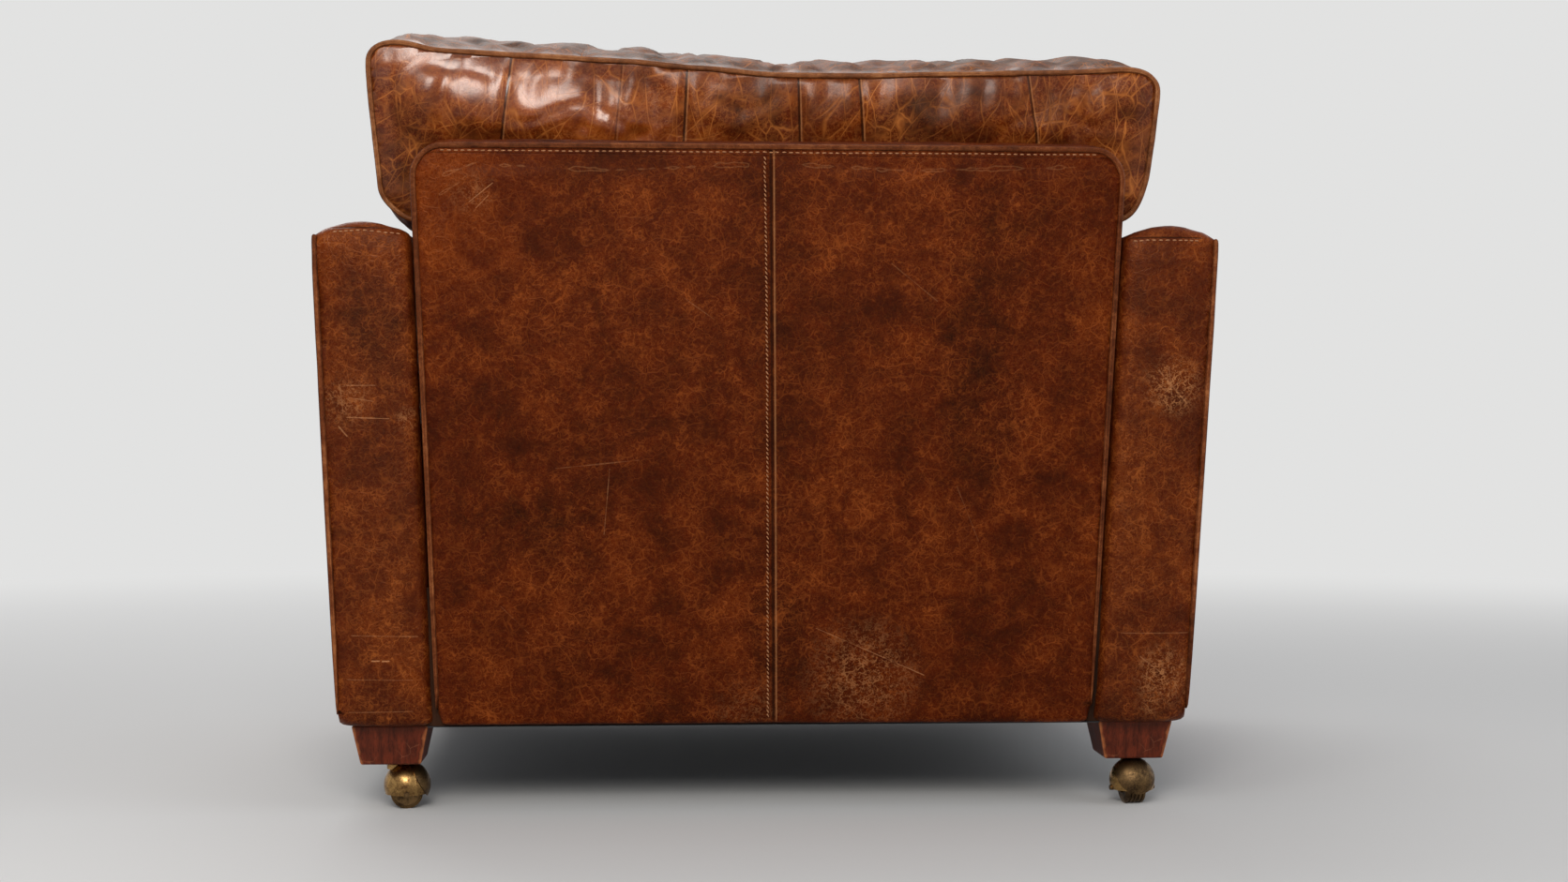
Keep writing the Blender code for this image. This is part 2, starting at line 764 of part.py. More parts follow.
def inside_back_pad():
    """Padded panel between the webbing and the loose cushion."""
    pad_side = BACK_WALL + GAP
    block(
        "inside_back_pad",
        (inside_back(-1.0, pad_side), inside_back(1.0, pad_side)),
        (inside_y, behind(POST_FRONT + WEBBING_THICKNESS + 2 * GAP)),
        (DECK_BOTTOM, POST_TOP - POST_SHOULDER),
        "leather",
    )


def front_panel():
    """Leather over the front rail, between the arms."""
    wide = -0.001
    low, high = FRAME_BOTTOM, DECK_TOP
    middle = (low + high) / 2
    rows = []
    for out, z in (
        (EDGE / 2, low),
        (0.0, low + EDGE),
        (-PANEL_CROWN, middle),
        (0.0, high - EDGE),
        (EDGE, high),
        (FRONT_PANEL_THICKNESS, high),
        (FRONT_PANEL_THICKNESS, low),
    ):
        rows.append((out, z))
    rings = []
    steps = 8
    for step in range(steps + 1):
        share = 2.0 * step / steps - 1.0
        fade = 1.0 - share**4
        rings.append(
            [
                Vector((share * (inner_x(z) + wide), FRONT_Y + (out * fade if out < 0 else out), z))
                for out, z in rows
            ]
        )
    piece("front_panel", loft_mesh("front_panel", rings), "leather")


# Seat cushion

SEAT_BOTTOM = DECK_TOP + WELT_PROUD + GAP
SEAT_TOP = SEAT_BOTTOM + SEAT_THICKNESS
SEAT_FRONT = FRONT_Y - SEAT_FRONT_OVERHANG
SEAT_REAR = inside_y(DECK_TOP) - WELT_PROUD - GAP
SEAT_HALF = inner_x(DECK_TOP) - WELT_PROUD - GAP
# The flat stretch that the back cushion stands on ends here, and the crown is full further forward
SEAT_FLAT_END = inside_y(SEAT_TOP) - BACK_CUSHION_THICKNESS / math.cos(INSIDE_RAKE) - SEAT_FLAT_MARGIN


def seat_outline(inset):
    """The cushion's plan, drawn in by inset, as (x, y) points."""
    half, front, rear = SEAT_HALF - inset, SEAT_FRONT + inset, SEAT_REAR - inset
    radius = max(SEAT_CORNER - inset, 0.006)
    points = []
    corners = (
        (half - radius, front + radius, -math.pi / 2),
        (half - radius, rear - radius, 0.0),
        (radius - half, rear - radius, math.pi / 2),
        (radius - half, front + radius, math.pi),
    )
    for number, (x, y, start) in enumerate(corners):
        arc = []
        for step in range(4):
            angle = start + step * math.pi / 6
            arc.append((x + radius * math.cos(angle), y + radius * math.sin(angle)))
        points += arc
        after = corners[(number + 1) % 4]
        first = (after[0] + radius * math.cos(after[2]), after[1] + radius * math.sin(after[2]))
        for step in range(1, 6):
            share = step / 6
            points.append(
                (
                    arc[-1][0] + (first[0] - arc[-1][0]) * share,
                    arc[-1][1] + (first[1] - arc[-1][1]) * share,
                )
            )
    return points


def seat_cushion():
    """Box cushion: flat where the back cushion stands on it, crowned and a little sunken in front."""
    rings = []
    for inset in (SEAT_UNDER_INSET, EDGE):
        rings.append([Vector((x, y, SEAT_BOTTOM)) for x, y in seat_outline(inset)])
    for share in (0.0, 0.33, 0.67, 1.0):
        z = SEAT_BOTTOM + EDGE + (SEAT_THICKNESS - 2 * EDGE) * share
        ring = []
        for x, y in seat_outline(0.0):
            wave = SEAT_FRONT_WAVE * smooth(SEAT_FRONT + SEAT_CORNER, SEAT_FRONT, y) * math.cos(9.0 * x)
            ring.append(Vector((x, y - wave * math.sin(math.pi * share), z)))
        rings.append(ring)
    for inset, rise in ((EDGE, 0.0), *SEAT_CROWN_STEPS):
        ring = []
        for x, y in seat_outline(inset):
            forward = smooth(SEAT_FLAT_END, SEAT_FLAT_END - SEAT_CROWN_EASE, y)
            dish = 1.0 - 0.22 * math.exp(-((x / 0.22) ** 2) - (((y + 0.10) / 0.20) ** 2))
            ring.append(Vector((x, y, SEAT_TOP + SEAT_CROWN * rise * forward * dish)))
        rings.append(ring)
    piece("seat_cushion", loft_mesh("seat_cushion", rings), "cushion_leather")
    for name, z in (("top", SEAT_TOP - WELT_INSET), ("bottom", SEAT_BOTTOM + WELT_INSET)):
        path = [(x, y, z) for x, y in seat_outline(WELT_INSET)]
        tube(f"seat_cushion_welt_{name}", path, WELT_RADIUS, "welt_leather", closed=True)


# Back cushion, modelled as x, v up its rear face and w forward from that face

CUSHION_FOOT = SEAT_TOP + WELT_PROUD + 2 * GAP
CUSHION_REAR = WELT_PROUD + GAP
BACK_CUSHION_STEM_HALF = inner_x(SEAT_TOP) - STEM_SIDE_CLEARANCE
BACK_CUSHION_EAR_HALF = outer_x(ARM_HEIGHT) - EAR_INSET
SEAMS = [(top * BACK_CUSHION_STEM_HALF, foot * BACK_CUSHION_STEM_HALF) for top, foot in SEAM_SHARES]
EAR_FOOT = ARM_HEIGHT + EAR_CLEARANCE
LEAN_SIN, LEAN_COS = math.sin(INSIDE_RAKE), math.cos(INSIDE_RAKE)


def cushion_point(x, v, w):
    """A point of the cushion, leant back against the inside back."""
    y = inside_y(CUSHION_FOOT) - CUSHION_REAR / LEAN_COS + v * LEAN_SIN - w * LEAN_COS
    return Vector((x, y, CUSHION_FOOT + v * LEAN_COS + w * LEAN_SIN))


def face_height(z):
    """The distance up the rear face at which the cushion reaches a height."""
    return (z - CUSHION_FOOT) / LEAN_COS


def ear_side(v, top):
    """Half the cushion's width in its ears, which narrow downwards."""
    foot = face_height(EAR_FOOT)
    return BACK_CUSHION_EAR_HALF - EAR_TAPER * (1.0 - smooth(foot - 0.02, top, v))


def cushion_top(x):
    """The top edge of the rear face, rounded down at the ears' corners."""
    past = min(max(abs(x) - (BACK_CUSHION_EAR_HALF - EAR_CORNER), 0.0), EAR_CORNER)
    drop = EAR_CORNER - math.sqrt(EAR_CORNER**2 - past**2)
    return face_height(BACK_HEIGHT + read_line(TOP_LINE, x / BACK_CUSHION_EAR_HALF)) - drop


def cushion_foot(x):
    """The lower edge of the rear face: the stem stands on the seat, the ears lie over the arms."""
    if abs(x) <= BACK_CUSHION_STEM_HALF:
        return 0.0
    rise = EAR_FOOT_RISE * smooth(BACK_CUSHION_EAR_HALF - EAR_FOOT_EASE, BACK_CUSHION_EAR_HALF, abs(x))
    return face_height(EAR_FOOT) + rise


def slant(x):
    """How far the seams lean sideways at the top edge, eased from seam to seam."""
    offsets = [(-BACK_CUSHION_STEM_HALF, 0.0)]
    offsets += [(foot, top - foot) for top, foot in SEAMS]
    offsets += [(BACK_CUSHION_STEM_HALF, 0.0)]
    return read_line(offsets, x)


def gather(x, phase):
    """Soft diagonal puckers that a welt draws into the leather."""
    return math.sin(88.0 * x + phase) * 0.6 + math.sin(137.0 * x + 2.1 * phase) * 0.4


LOW_ROWS, HIGH_ROWS, BAND_ROWS, FRONT_ROWS = 3, 5, 4, 7
REAR_ROWS = LOW_ROWS + HIGH_ROWS
REAR_TOP = REAR_ROWS
FRONT_TOP = REAR_ROWS + 1 + BAND_ROWS + 1
FRONT_FOOT = FRONT_TOP + FRONT_ROWS


def cushion_section(x, seam_share=0.0, stem_side=False):
    """One slice of the cushion across its thickness, as world points: up the rear face, over the top band,
    down the front face and back underneath. The slice on the stem's side has its edges cut back below the
    ears."""
    low, high = cushion_foot(x), cushion_top(x)
    deep = BACK_CUSHION_THICKNESS
    side_fade = 1.0 - smooth(BACK_CUSHION_EAR_HALF - 0.09, BACK_CUSHION_EAR_HALF, abs(x))
    in_stem = abs(x) <= BACK_CUSHION_STEM_HALF
    lean_tan = LEAN_SIN / LEAN_COS
    ear_low = face_height(EAR_FOOT)
    rest = face_height(BACK_HEIGHT)
    points = []

    def aside(v):
        """Slanted seams near the top, and the ears' sides that narrow downwards."""
        shift = slant(x) * smooth(high - SEAM_SLANT_HEIGHT, high, v)
        if not in_stem:
            share = (abs(x) - BACK_CUSHION_STEM_HALF) / (BACK_CUSHION_EAR_HALF - BACK_CUSHION_STEM_HALF)
            shift -= math.copysign((BACK_CUSHION_EAR_HALF - ear_side(v, high)) * share, x)
        return shift

    def cut_back(v):
        return EDGE * (1.0 - smooth(ear_low - 0.03, ear_low, v)) if stem_side else 0.0

    beyond = smooth(back_half(BACK_HEIGHT) + 0.005, back_half(BACK_HEIGHT) + 0.020, abs(x))
    rear = [low + EDGE + (rest - low - EDGE) * row / LOW_ROWS for row in range(LOW_ROWS + 1)]
    rear += [rest + (high - EDGE - rest) * row / HIGH_ROWS for row in range(1, HIGH_ROWS + 1)]
    for v in rear:
        free = max(smooth(rest, rest + 0.025, v), beyond)
        inner = math.sin(math.pi * smooth(low, high, v)) * side_fade * free
        pucker = GATHER_DEPTH * gather(x, 1.0) * smooth(high - 0.10, high - 0.03, v)
        swell = max((BACK_CUSHION_REAR_SWELL + pucker) * inner, 0.0)
        dent = SEAM_DEPTH * seam_share * inner
        points.append(cushion_point(x + aside(v), v, dent - swell + cut_back(v)))
    for row in range(BAND_ROWS + 1):
        share = row / BAND_ROWS
        w = EDGE + (deep - 2 * EDGE) * share
        lift = (BAND_SWELL + GATHER_DEPTH * gather(x + 0.12 * share, 2.0)) * math.sin(math.pi * share)
        points.append(cushion_point(x + aside(high), high + lift * side_fade, w))
    for row in range(FRONT_ROWS + 1):
        share = 1.0 - row / FRONT_ROWS
        foot = low - deep * lean_tan
        v = foot + EDGE + (high - foot - 2 * EDGE) * share
        swell = math.sin(math.pi * share) ** 0.7 if 0 < row < FRONT_ROWS else 0.0
        crown = (BACK_CUSHION_CROWN - SEAM_DEPTH * seam_share) * side_fade * swell
        points.append(cushion_point(x + aside(v), v, deep + crown - cut_back(v + deep * lean_tan)))
    points.append(cushion_point(x + aside(low), low - (deep - EDGE) * lean_tan, deep - EDGE))
    points.append(cushion_point(x + aside(low), low - EDGE * lean_tan, EDGE))
    return points


def cushion_stations():
    """The slices' x places, each with the share of a seam's groove that it carries."""
    stem, ear = BACK_CUSHION_STEM_HALF, BACK_CUSHION_EAR_HALF
    seams = [foot for _, foot in SEAMS]
    reach = stem - EDGE
    count = 30
    plain = [-reach + 2 * reach * step / count for step in range(count + 1)]
    clear = SEAM_HALF_WIDTH * 2.2
    stations = [(x, 0.0) for x in plain if all(abs(x - seam) > clear for seam in seams)]
    for seam in seams:
        stations += [(seam - SEAM_HALF_WIDTH, 0.0), (seam, 1.0), (seam + SEAM_HALF_WIDTH, 0.0)]
    stations += [(stem, 0.0), (-stem, 0.0)]
    for share in (0.0, 0.30, 0.58, 0.78, 0.92, 1.0):
        x = stem + EAR_STEP + (ear - EDGE - stem - EAR_STEP) * share
        stations += [(x, 0.0), (-x, 0.0)]
    return sorted(stations)


def end_ring(ring, side):
    """The ear's side: the last slice again, moved out and drawn in by the cut-back of its edge."""
    centre = sum(ring, Vector()) / len(ring)
    drawn = []
    for point in ring:
        to_centre = centre - point
        to_centre.x = 0.0
        drawn.append(point + to_centre.normalized() * EDGE + Vector((side * EDGE, 0.0, 0.0)))
    return drawn


def on_edge(first, second, corner):
    """Centre of a welt that lies on the cut-back edge between two points, on its corner's side."""
    middle = (first + second) / 2
    return middle + (corner - middle).normalized() * (WELT_RADIUS + WELT_SLACK)


def welt_path(stations, rings, front):
    """The loop of a welt round one face of the cushion, read from the cushion's own slices."""
    top, top_band = (FRONT_TOP, FRONT_TOP - 1) if front else (REAR_TOP, REAR_TOP + 1)
    foot, foot_band = (FRONT_FOOT, FRONT_FOOT + 1) if front else (0, len(rings[0]) - 1)
    rows = range(top, foot + 1) if front else range(top, foot - 1, -1)
    xs = [x for x, _ in stations]
    stem = BACK_CUSHION_STEM_HALF

    def edge_centre(ring, face, band):
        """Centre of the welt on the edge between a row of the face and a row of the band."""
        across = Vector((0.0, -LEAN_COS, LEAN_SIN))
        corner = ring[band] + across * (ring[face] - ring[band]).dot(across)
        return on_edge(ring[face], ring[band], corner)

    def half(side):
        """From the middle of the top edge, round one side to the middle of the foot."""
        order = sorted((i for i, x in enumerate(xs) if side * x >= 0), key=lambda i: side * xs[i])
        path = [edge_centre(rings[i], top, top_band) for i in order]
        last = rings[order[-1]]
        end = end_ring(last, side)
        outward = Vector((side * EDGE, 0.0, 0.0))
        path += [on_edge(last[row], end[row], last[row] + outward) for row in rows]
        ears = [i for i in reversed(order) if side * xs[i] > stem + EAR_STEP / 2]
        path += [edge_centre(rings[i], foot, foot_band) for i in ears]
        edge_ring = next(rings[i] for i in order if side * xs[i] == stem)
        within = [i for i in order if side * xs[i] < stem]
        near = rings[within[-1]]
        ear_low = path[-1].z
        for row in rows:
            if edge_ring[row].z < ear_low - WELT_TURN:
                path.append(on_edge(near[row], edge_ring[row], near[row] + outward))
        path += [edge_centre(rings[i], foot, foot_band) for i in reversed(within)]
        return path

    left, right = half(1.0), half(-1.0)
    loop = []
    for point in left + list(reversed(right)):
        if not loop or (point - loop[-1]).length > 4 * WELT_RADIUS:
            loop.append(point)
    return loop


def back_cushion():
    """T-shaped loose cushion of pieced leather, sagging in its middle, with a welt round each face."""
    stations = cushion_stations()
    rings = [
        cushion_section(x, seam_share, stem_side=abs(x) == BACK_CUSHION_STEM_HALF)
        for x, seam_share in stations
    ]
    closed = [end_ring(rings[0], -1.0)] + rings + [end_ring(rings[-1], 1.0)]
    cushion = piece("back_cushion", loft_mesh("back_cushion", closed), "cushion_leather")
    for name, front in (("rear", False), ("front", True)):
        path = welt_path(stations, rings, front)
        tube(f"back_cushion_welt_{name}", path, WELT_RADIUS, "welt_leather", closed=True)
        groove_name = f"back_cushion_groove_{name}"
        groove = tube(groove_name, path, WELT_RADIUS + 2 * GAP, "welt_leather", closed=True)
        cut(cushion, piece(groove_name, worked_mesh(groove), "welt_leather"))


# Legs and casters

def leg_mesh():
    """A square block that narrows downwards, with a socket for the caster's stem."""
    rings = []
    for width, z in ((LEG_FOOT_WIDTH, CASTER_HEIGHT), (LEG_TOP_WIDTH, CASTER_HEIGHT + LEG_HEIGHT)):
        half = width / 2
        rings.append([Vector((x * half, y * half, z)) for x, y in ((1, 1), (-1, 1), (-1, -1), (1, -1))])
    bm = bmesh.new()
    rows = [[bm.verts.new(point) for point in ring] for ring in rings]
    bm.faces.new(rows[0])
    bm.faces.new(rows[1])
    for i in range(4):
        j = (i + 1) % 4
        bm.faces.new((rows[0][i], rows[0][j], rows[1][j], rows[1][i]))
    body = piece("leg_body", finished_mesh("leg_body", bm), "mahogany")
    bevel = body.modifiers.new("worn_edges", "BEVEL")
    bevel.width = 0.0022
    bevel.segments = 2
    radius, depth = STEM_RADIUS + GAP, STEM_LENGTH + GAP
    below = CASTER_HEIGHT - 0.01
    profile = ((0.0, below), (radius, below), (radius, CASTER_HEIGHT + depth), (0.0, CASTER_HEIGHT + depth))
    cut(body, piece("leg_socket", turned_mesh("leg_socket", profile, 12), "mahogany"))
    return worked_mesh(body)


def hood_mesh():
    """The caster's domed hood, with the neck, collar and stem that turn in the leg. Its stem is at x = 0."""
    centre_z = CASTER_HEIGHT - GAP - COLLAR_HEIGHT / 2 - HOOD_RADIUS + 0.0009
    rim_angle = math.asin((HOOD_RIM_Z - centre_z) / HOOD_RADIUS)
    inner_radius = HOOD_RADIUS - HOOD_WALL
    inner_angle = math.asin((HOOD_RIM_Z - centre_z) / inner_radius)
    steps = 5
    outer = []
    inner = []
    for step in range(steps + 1):
        share = step / steps
        angle = math.pi / 2 + (rim_angle - math.pi / 2) * share
        outer.append((HOOD_RADIUS * math.cos(angle), centre_z + HOOD_RADIUS * math.sin(angle)))
        angle = math.pi / 2 + (inner_angle - math.pi / 2) * share
        inner.append((inner_radius * math.cos(angle), centre_z + inner_radius * math.sin(angle)))
    outer[0] = (0.0, outer[0][1])
    inner[0] = (0.0, inner[0][1])
    mesh = turned_mesh("hood_shell", outer + list(reversed(inner)), 18)
    mesh.transform(Matrix.Translation((TRAIL, 0.0, 0.0)))
    shell = piece("hood_shell", mesh, "antique_brass")

    top = CASTER_HEIGHT - GAP
    neck_foot = centre_z + math.sqrt(inner_radius**2 - TRAIL**2) - 0.0025
    profile = (
        (0.0, neck_foot),
        (NECK_RADIUS, neck_foot),
        (NECK_RADIUS, top - COLLAR_HEIGHT),
        (COLLAR_RADIUS, top - COLLAR_HEIGHT * 0.6),
        (COLLAR_RADIUS, top),
        (STEM_RADIUS, top),
        (STEM_RADIUS, top + STEM_LENGTH - 0.001),
        (STEM_RADIUS - 0.001, top + STEM_LENGTH),
        (0.0, top + STEM_LENGTH),
    )
    stem = piece("hood_stem", turned_mesh("hood_stem", profile, 12), "antique_brass")
    cut(shell, stem, "UNION")

    length = 2 * HOOD_RADIUS + 0.01
    bore = AXLE_RADIUS + GAP
    profile = ((0.0, -length / 2), (bore, -length / 2), (bore, length / 2), (0.0, length / 2))
    hole_mesh = turned_mesh("axle_hole", profile, 10)
    hole_mesh.transform(Matrix.Translation((TRAIL, 0.0, WHEEL_RADIUS)) @ Matrix.Rotation(math.pi / 2, 4, "X"))
    cut(shell, piece("axle_hole", hole_mesh, "antique_brass"))
    return worked_mesh(shell), centre_z


def wheel_meshes(centre_z):
    """The wheel and its axle, both turned about Y through their own origin."""
    reach = math.sqrt(HOOD_RADIUS**2 - (WHEEL_RADIUS - centre_z) ** 2)
    inner_reach = math.sqrt((HOOD_RADIUS - HOOD_WALL) ** 2 - (WHEEL_RADIUS + HUB_RADIUS - centre_z) ** 2)
    hub_foot = WHEEL_RADIUS - HUB_RADIUS - centre_z
    hub = min(inner_reach, math.sqrt((HOOD_RADIUS - HOOD_WALL) ** 2 - hub_foot ** 2))
    hub -= 2 * GAP
    half = WHEEL_WIDTH / 2
    bore = AXLE_RADIUS + GAP
    shoulder = 0.0035
    profile = (
        (bore, -hub),
        (HUB_RADIUS, -hub),
        (HUB_RADIUS, -half),
        (WHEEL_RADIUS - shoulder, -half),
        (WHEEL_RADIUS, -half + shoulder),
        (WHEEL_RADIUS, -0.003),
        (WHEEL_RADIUS - WHEEL_GROOVE, 0.0),
        (WHEEL_RADIUS, 0.003),
        (WHEEL_RADIUS, half - shoulder),
        (WHEEL_RADIUS - shoulder, half),
        (HUB_RADIUS, half),
        (HUB_RADIUS, hub),
        (bore, hub),
        (bore, -hub),
    )
    lay_down = Matrix.Rotation(math.pi / 2, 4, "X")
    wheel = turned_mesh("caster_wheel", profile, 16)
    wheel.transform(lay_down)
    tip = reach + AXLE_OVERHANG
    profile = ((0.0, -tip), (AXLE_RADIUS, -tip), (AXLE_RADIUS, tip), (0.0, tip))
    axle = turned_mesh("caster_axle", profile, 10)
    axle.transform(lay_down)
    return wheel, axle


def legs_and_casters():
    leg = leg_mesh()
    hood, centre_z = hood_mesh()
    wheel, axle = wheel_meshes(centre_z)
    for corner, turn in CASTER_TURN.items():
        x, y = leg_place(corner)
        piece(f"leg_{corner}", leg.copy(), "mahogany").location = (x, y, 0.0)
        swivel = bpy.data.objects.new(f"swivel_axis_{corner}", None)
        bpy.context.scene.collection.objects.link(swivel)
        swivel.location = (x, y, 0.0)
        swivel.rotation_euler = (0.0, 0.0, math.radians(turn))
        piece(f"caster_hood_{corner}", hood.copy(), "antique_brass").parent = swivel
        for name, mesh, finish in (("axle", axle, "antique_brass"), ("wheel", wheel, "dark_tread")):
            part = piece(f"caster_{name}_{corner}", mesh.copy(), finish)
            part.parent = swivel
            part.location = (TRAIL, 0.0, WHEEL_RADIUS)


back_frame()
seat_frame()
arm_frame()
suspension()
dust_cover()
inside_back_pad()
outside_back()
back_welt()
front_panel()
for side_name, side_sign in SIDES:
    arm_cover(side_name, side_sign)
    arm_welts(side_name, side_sign)
seat_cushion()
back_cushion()
legs_and_casters()
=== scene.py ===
"""A worn leather club chair on ball casters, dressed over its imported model.

Metres, +Z up, floor at z = 0. The sitter faces -Y, and +X is on the sitter's left hand.
"""

import math

import bpy
import numpy as np
from mathutils import Matrix, Vector
from mathutils.bvhtree import BVHTree
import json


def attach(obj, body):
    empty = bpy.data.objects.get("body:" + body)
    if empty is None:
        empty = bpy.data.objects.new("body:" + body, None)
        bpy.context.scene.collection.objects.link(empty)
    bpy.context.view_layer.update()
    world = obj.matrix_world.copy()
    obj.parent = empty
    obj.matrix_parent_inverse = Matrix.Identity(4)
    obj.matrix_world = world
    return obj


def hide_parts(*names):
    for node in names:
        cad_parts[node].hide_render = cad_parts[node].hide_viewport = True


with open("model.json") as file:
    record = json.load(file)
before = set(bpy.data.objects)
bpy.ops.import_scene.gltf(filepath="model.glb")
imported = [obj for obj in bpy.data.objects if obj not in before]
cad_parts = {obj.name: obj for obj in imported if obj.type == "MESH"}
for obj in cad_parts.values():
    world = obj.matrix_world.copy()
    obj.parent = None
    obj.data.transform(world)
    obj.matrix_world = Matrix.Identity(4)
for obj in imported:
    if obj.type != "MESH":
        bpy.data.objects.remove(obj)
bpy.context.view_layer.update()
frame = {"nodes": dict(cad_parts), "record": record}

# Studio: a pale floor that runs into a pale backdrop. A broad lamp hangs high in front of the chair, one
# behind it draws the shine on the cushion, and two weaker ones stand behind its left and right sides. The
# camera stands behind the chair, level with the arms' middle.

def linked(name, data):
    """A new object in the scene."""
    made = bpy.data.objects.new(name, data)
    bpy.context.scene.collection.objects.link(made)
    return made


def painted(name):
    """A new material, its node tree and its shader."""
    material = bpy.data.materials.new(name)
    material.use_nodes = True
    return material, material.node_tree, material.node_tree.nodes["Principled BSDF"]


camera_data = bpy.data.cameras.new("camera")
camera_data.sensor_width = 36.0
camera_data.lens = 49.5
camera_data.shift_y = -0.002
camera = linked("camera", camera_data)
camera.location = (0.118, 2.759, 0.413)
camera.rotation_euler = (math.radians(90.0), 0.0, math.radians(180.0 - 3.3))
bpy.context.scene.camera = camera
bpy.context.scene.view_settings.view_transform = "Standard"


def softbox(name, place, aim, size, power, tint):
    data = bpy.data.lights.new(name, "AREA")
    data.shape = "DISK"
    data.size = size
    data.energy = power
    data.color = tint
    lamp = linked(name, data)
    lamp.location = place
    lamp.rotation_euler = (Vector(aim) - Vector(place)).to_track_quat("-Z", "Y").to_euler()


softbox("softbox_left", (1.45, 2.75, 2.35), (0.0, 0.2, 0.50), 1.3, 16.0, (1.0, 0.97, 0.93))
softbox("softbox_behind", (0.27, 2.95, 1.62), (0.2, 0.4, 0.70), 1.15, 46.0, (1.0, 0.97, 0.93))
softbox("softbox_right", (-2.9, 1.6, 1.7), (0.0, 0.1, 0.4), 2.0, 16.0, (0.96, 0.98, 1.0))
softbox("softbox_front", (0.8, -2.1, 3.3), (0.0, 0.0, 0.45), 3.4, 62.0, (1.0, 0.98, 0.96))

world = bpy.data.worlds.new("studio")
bpy.context.scene.world = world
world.use_nodes = True
sky = world.node_tree
sky.nodes.clear()
BACKDROP = (0.76, 0.76, 0.755, 1.0)
rays = sky.nodes.new("ShaderNodeLightPath")
lit = sky.nodes.new("ShaderNodeBackground")
lit.inputs["Color"].default_value = (0.93, 0.95, 1.0, 1.0)
lit.inputs["Strength"].default_value = 0.34
seen = sky.nodes.new("ShaderNodeBackground")
seen.inputs["Color"].default_value = BACKDROP
seen.inputs["Strength"].default_value = 1.0
either = sky.nodes.new("ShaderNodeMixShader")
sky_out = sky.nodes.new("ShaderNodeOutputWorld")
straight = sky.nodes.new("ShaderNodeMath")
straight.operation = "MAXIMUM"
through = sky.nodes.new("ShaderNodeMath")
through.operation = "MAXIMUM"
sky.links.new(rays.outputs["Is Camera Ray"], straight.inputs[0])
sky.links.new(rays.outputs["Is Glossy Ray"], straight.inputs[1])
sky.links.new(straight.outputs[0], through.inputs[0])
sky.links.new(rays.outputs["Is Transmission Ray"], through.inputs[1])
sky.links.new(through.outputs[0], either.inputs[0])
sky.links.new(lit.outputs[0], either.inputs[1])
sky.links.new(seen.outputs[0], either.inputs[2])
sky.links.new(either.outputs[0], sky_out.inputs["Surface"])

FLOOR_SIZE = 24.0
FADE_FROM, FADE_TO = 1.1, 4.2
bpy.ops.object.select_all(action="DESELECT")
bpy.ops.mesh.primitive_plane_add(size=FLOOR_SIZE)
floor = bpy.context.object
floor.name = "studio_floor"
floor_paint, paint, matt = painted("studio_floor")
matt.inputs["Base Color"].default_value = (0.66, 0.66, 0.655, 1.0)
matt.inputs["Roughness"].default_value = 0.85
where = paint.nodes.new("ShaderNodeNewGeometry")
out_here = paint.nodes.new("ShaderNodeVectorMath")
out_here.operation = "LENGTH"
fade = paint.nodes.new("ShaderNodeMapRange")
fade.interpolation_type = "SMOOTHSTEP"
fade.inputs["From Min"].default_value = FADE_FROM
fade.inputs["From Max"].default_value = FADE_TO
seen_from = paint.nodes.new("ShaderNodeLightPath")
shown = paint.nodes.new("ShaderNodeMath")
shown.operation = "MULTIPLY"
far_away = paint.nodes.new("ShaderNodeEmission")
far_away.inputs["Color"].default_value = BACKDROP
floor_mix = paint.nodes.new("ShaderNodeMixShader")
paint.links.new(where.outputs["Position"], out_here.inputs[0])
paint.links.new(out_here.outputs["Value"], fade.inputs["Value"])
paint.links.new(fade.outputs["Result"], shown.inputs[0])
paint.links.new(seen_from.outputs["Is Camera Ray"], shown.inputs[1])
paint.links.new(shown.outputs[0], floor_mix.inputs[0])
paint.links.new(matt.outputs[0], floor_mix.inputs[1])
paint.links.new(far_away.outputs[0], floor_mix.inputs[2])
paint.links.new(floor_mix.outputs[0], paint.nodes["Material Output"].inputs["Surface"])
floor.data.materials.append(floor_paint)


# Arms: hardwood boxes padded and covered in one hide of pull-up leather, with a low domed top. The leather
# has crazed all over and been rubbed and scratched on its rear ends. Painted shade darkens it beside the
# welts, and a painted highlight lightens the upper rear end of each arm, more on the left.

def add(tree, kind, inputs=None, **settings):
    """One shader node, with its settings and what feeds it."""
    made = tree.nodes.new("ShaderNode" + kind)
    for key, value in settings.items():
        setattr(made, key, value)
    for key, value in (inputs or {}).items():
        if isinstance(value, bpy.types.NodeSocket):
            tree.links.new(value, made.inputs[key])
        else:
            made.inputs[key].default_value = value
    return made


def maths(operation):
    """What adds one Math node of an operation to a tree."""
    def node(tree, *values, clamp=False):
        return add(tree, "Math", dict(enumerate(values)), operation=operation, use_clamp=clamp).outputs[0]
    return node


plus, minus, times, divided = maths("ADD"), maths("SUBTRACT"), maths("MULTIPLY"), maths("DIVIDE")
most, fewest, unsigned, sine = maths("MAXIMUM"), maths("MINIMUM"), maths("ABSOLUTE"), maths("SINE")


def noise(tree, vector, scale, detail, **settings):
    """Smooth noise from 0 to 1."""
    inputs = {"Vector": vector, "Scale": scale, "Detail": detail, **settings}
    return add(tree, "TexNoise", inputs).outputs["Fac"]


def raised(tree, shader, strength, distance, height):
    """Gives a shader a bumped normal."""
    bump = add(tree, "Bump", {"Strength": strength, "Distance": distance, "Height": height})
    tree.links.new(bump.outputs[0], shader.inputs["Normal"])


def spread(tree, value, low, high, start=0.0, end=1.0):
    """Maps low..high to start..end and stops there."""
    inputs = {"Value": value, "From Min": low, "From Max": high, "To Min": start, "To Max": end}
    return add(tree, "MapRange", inputs).outputs["Result"]


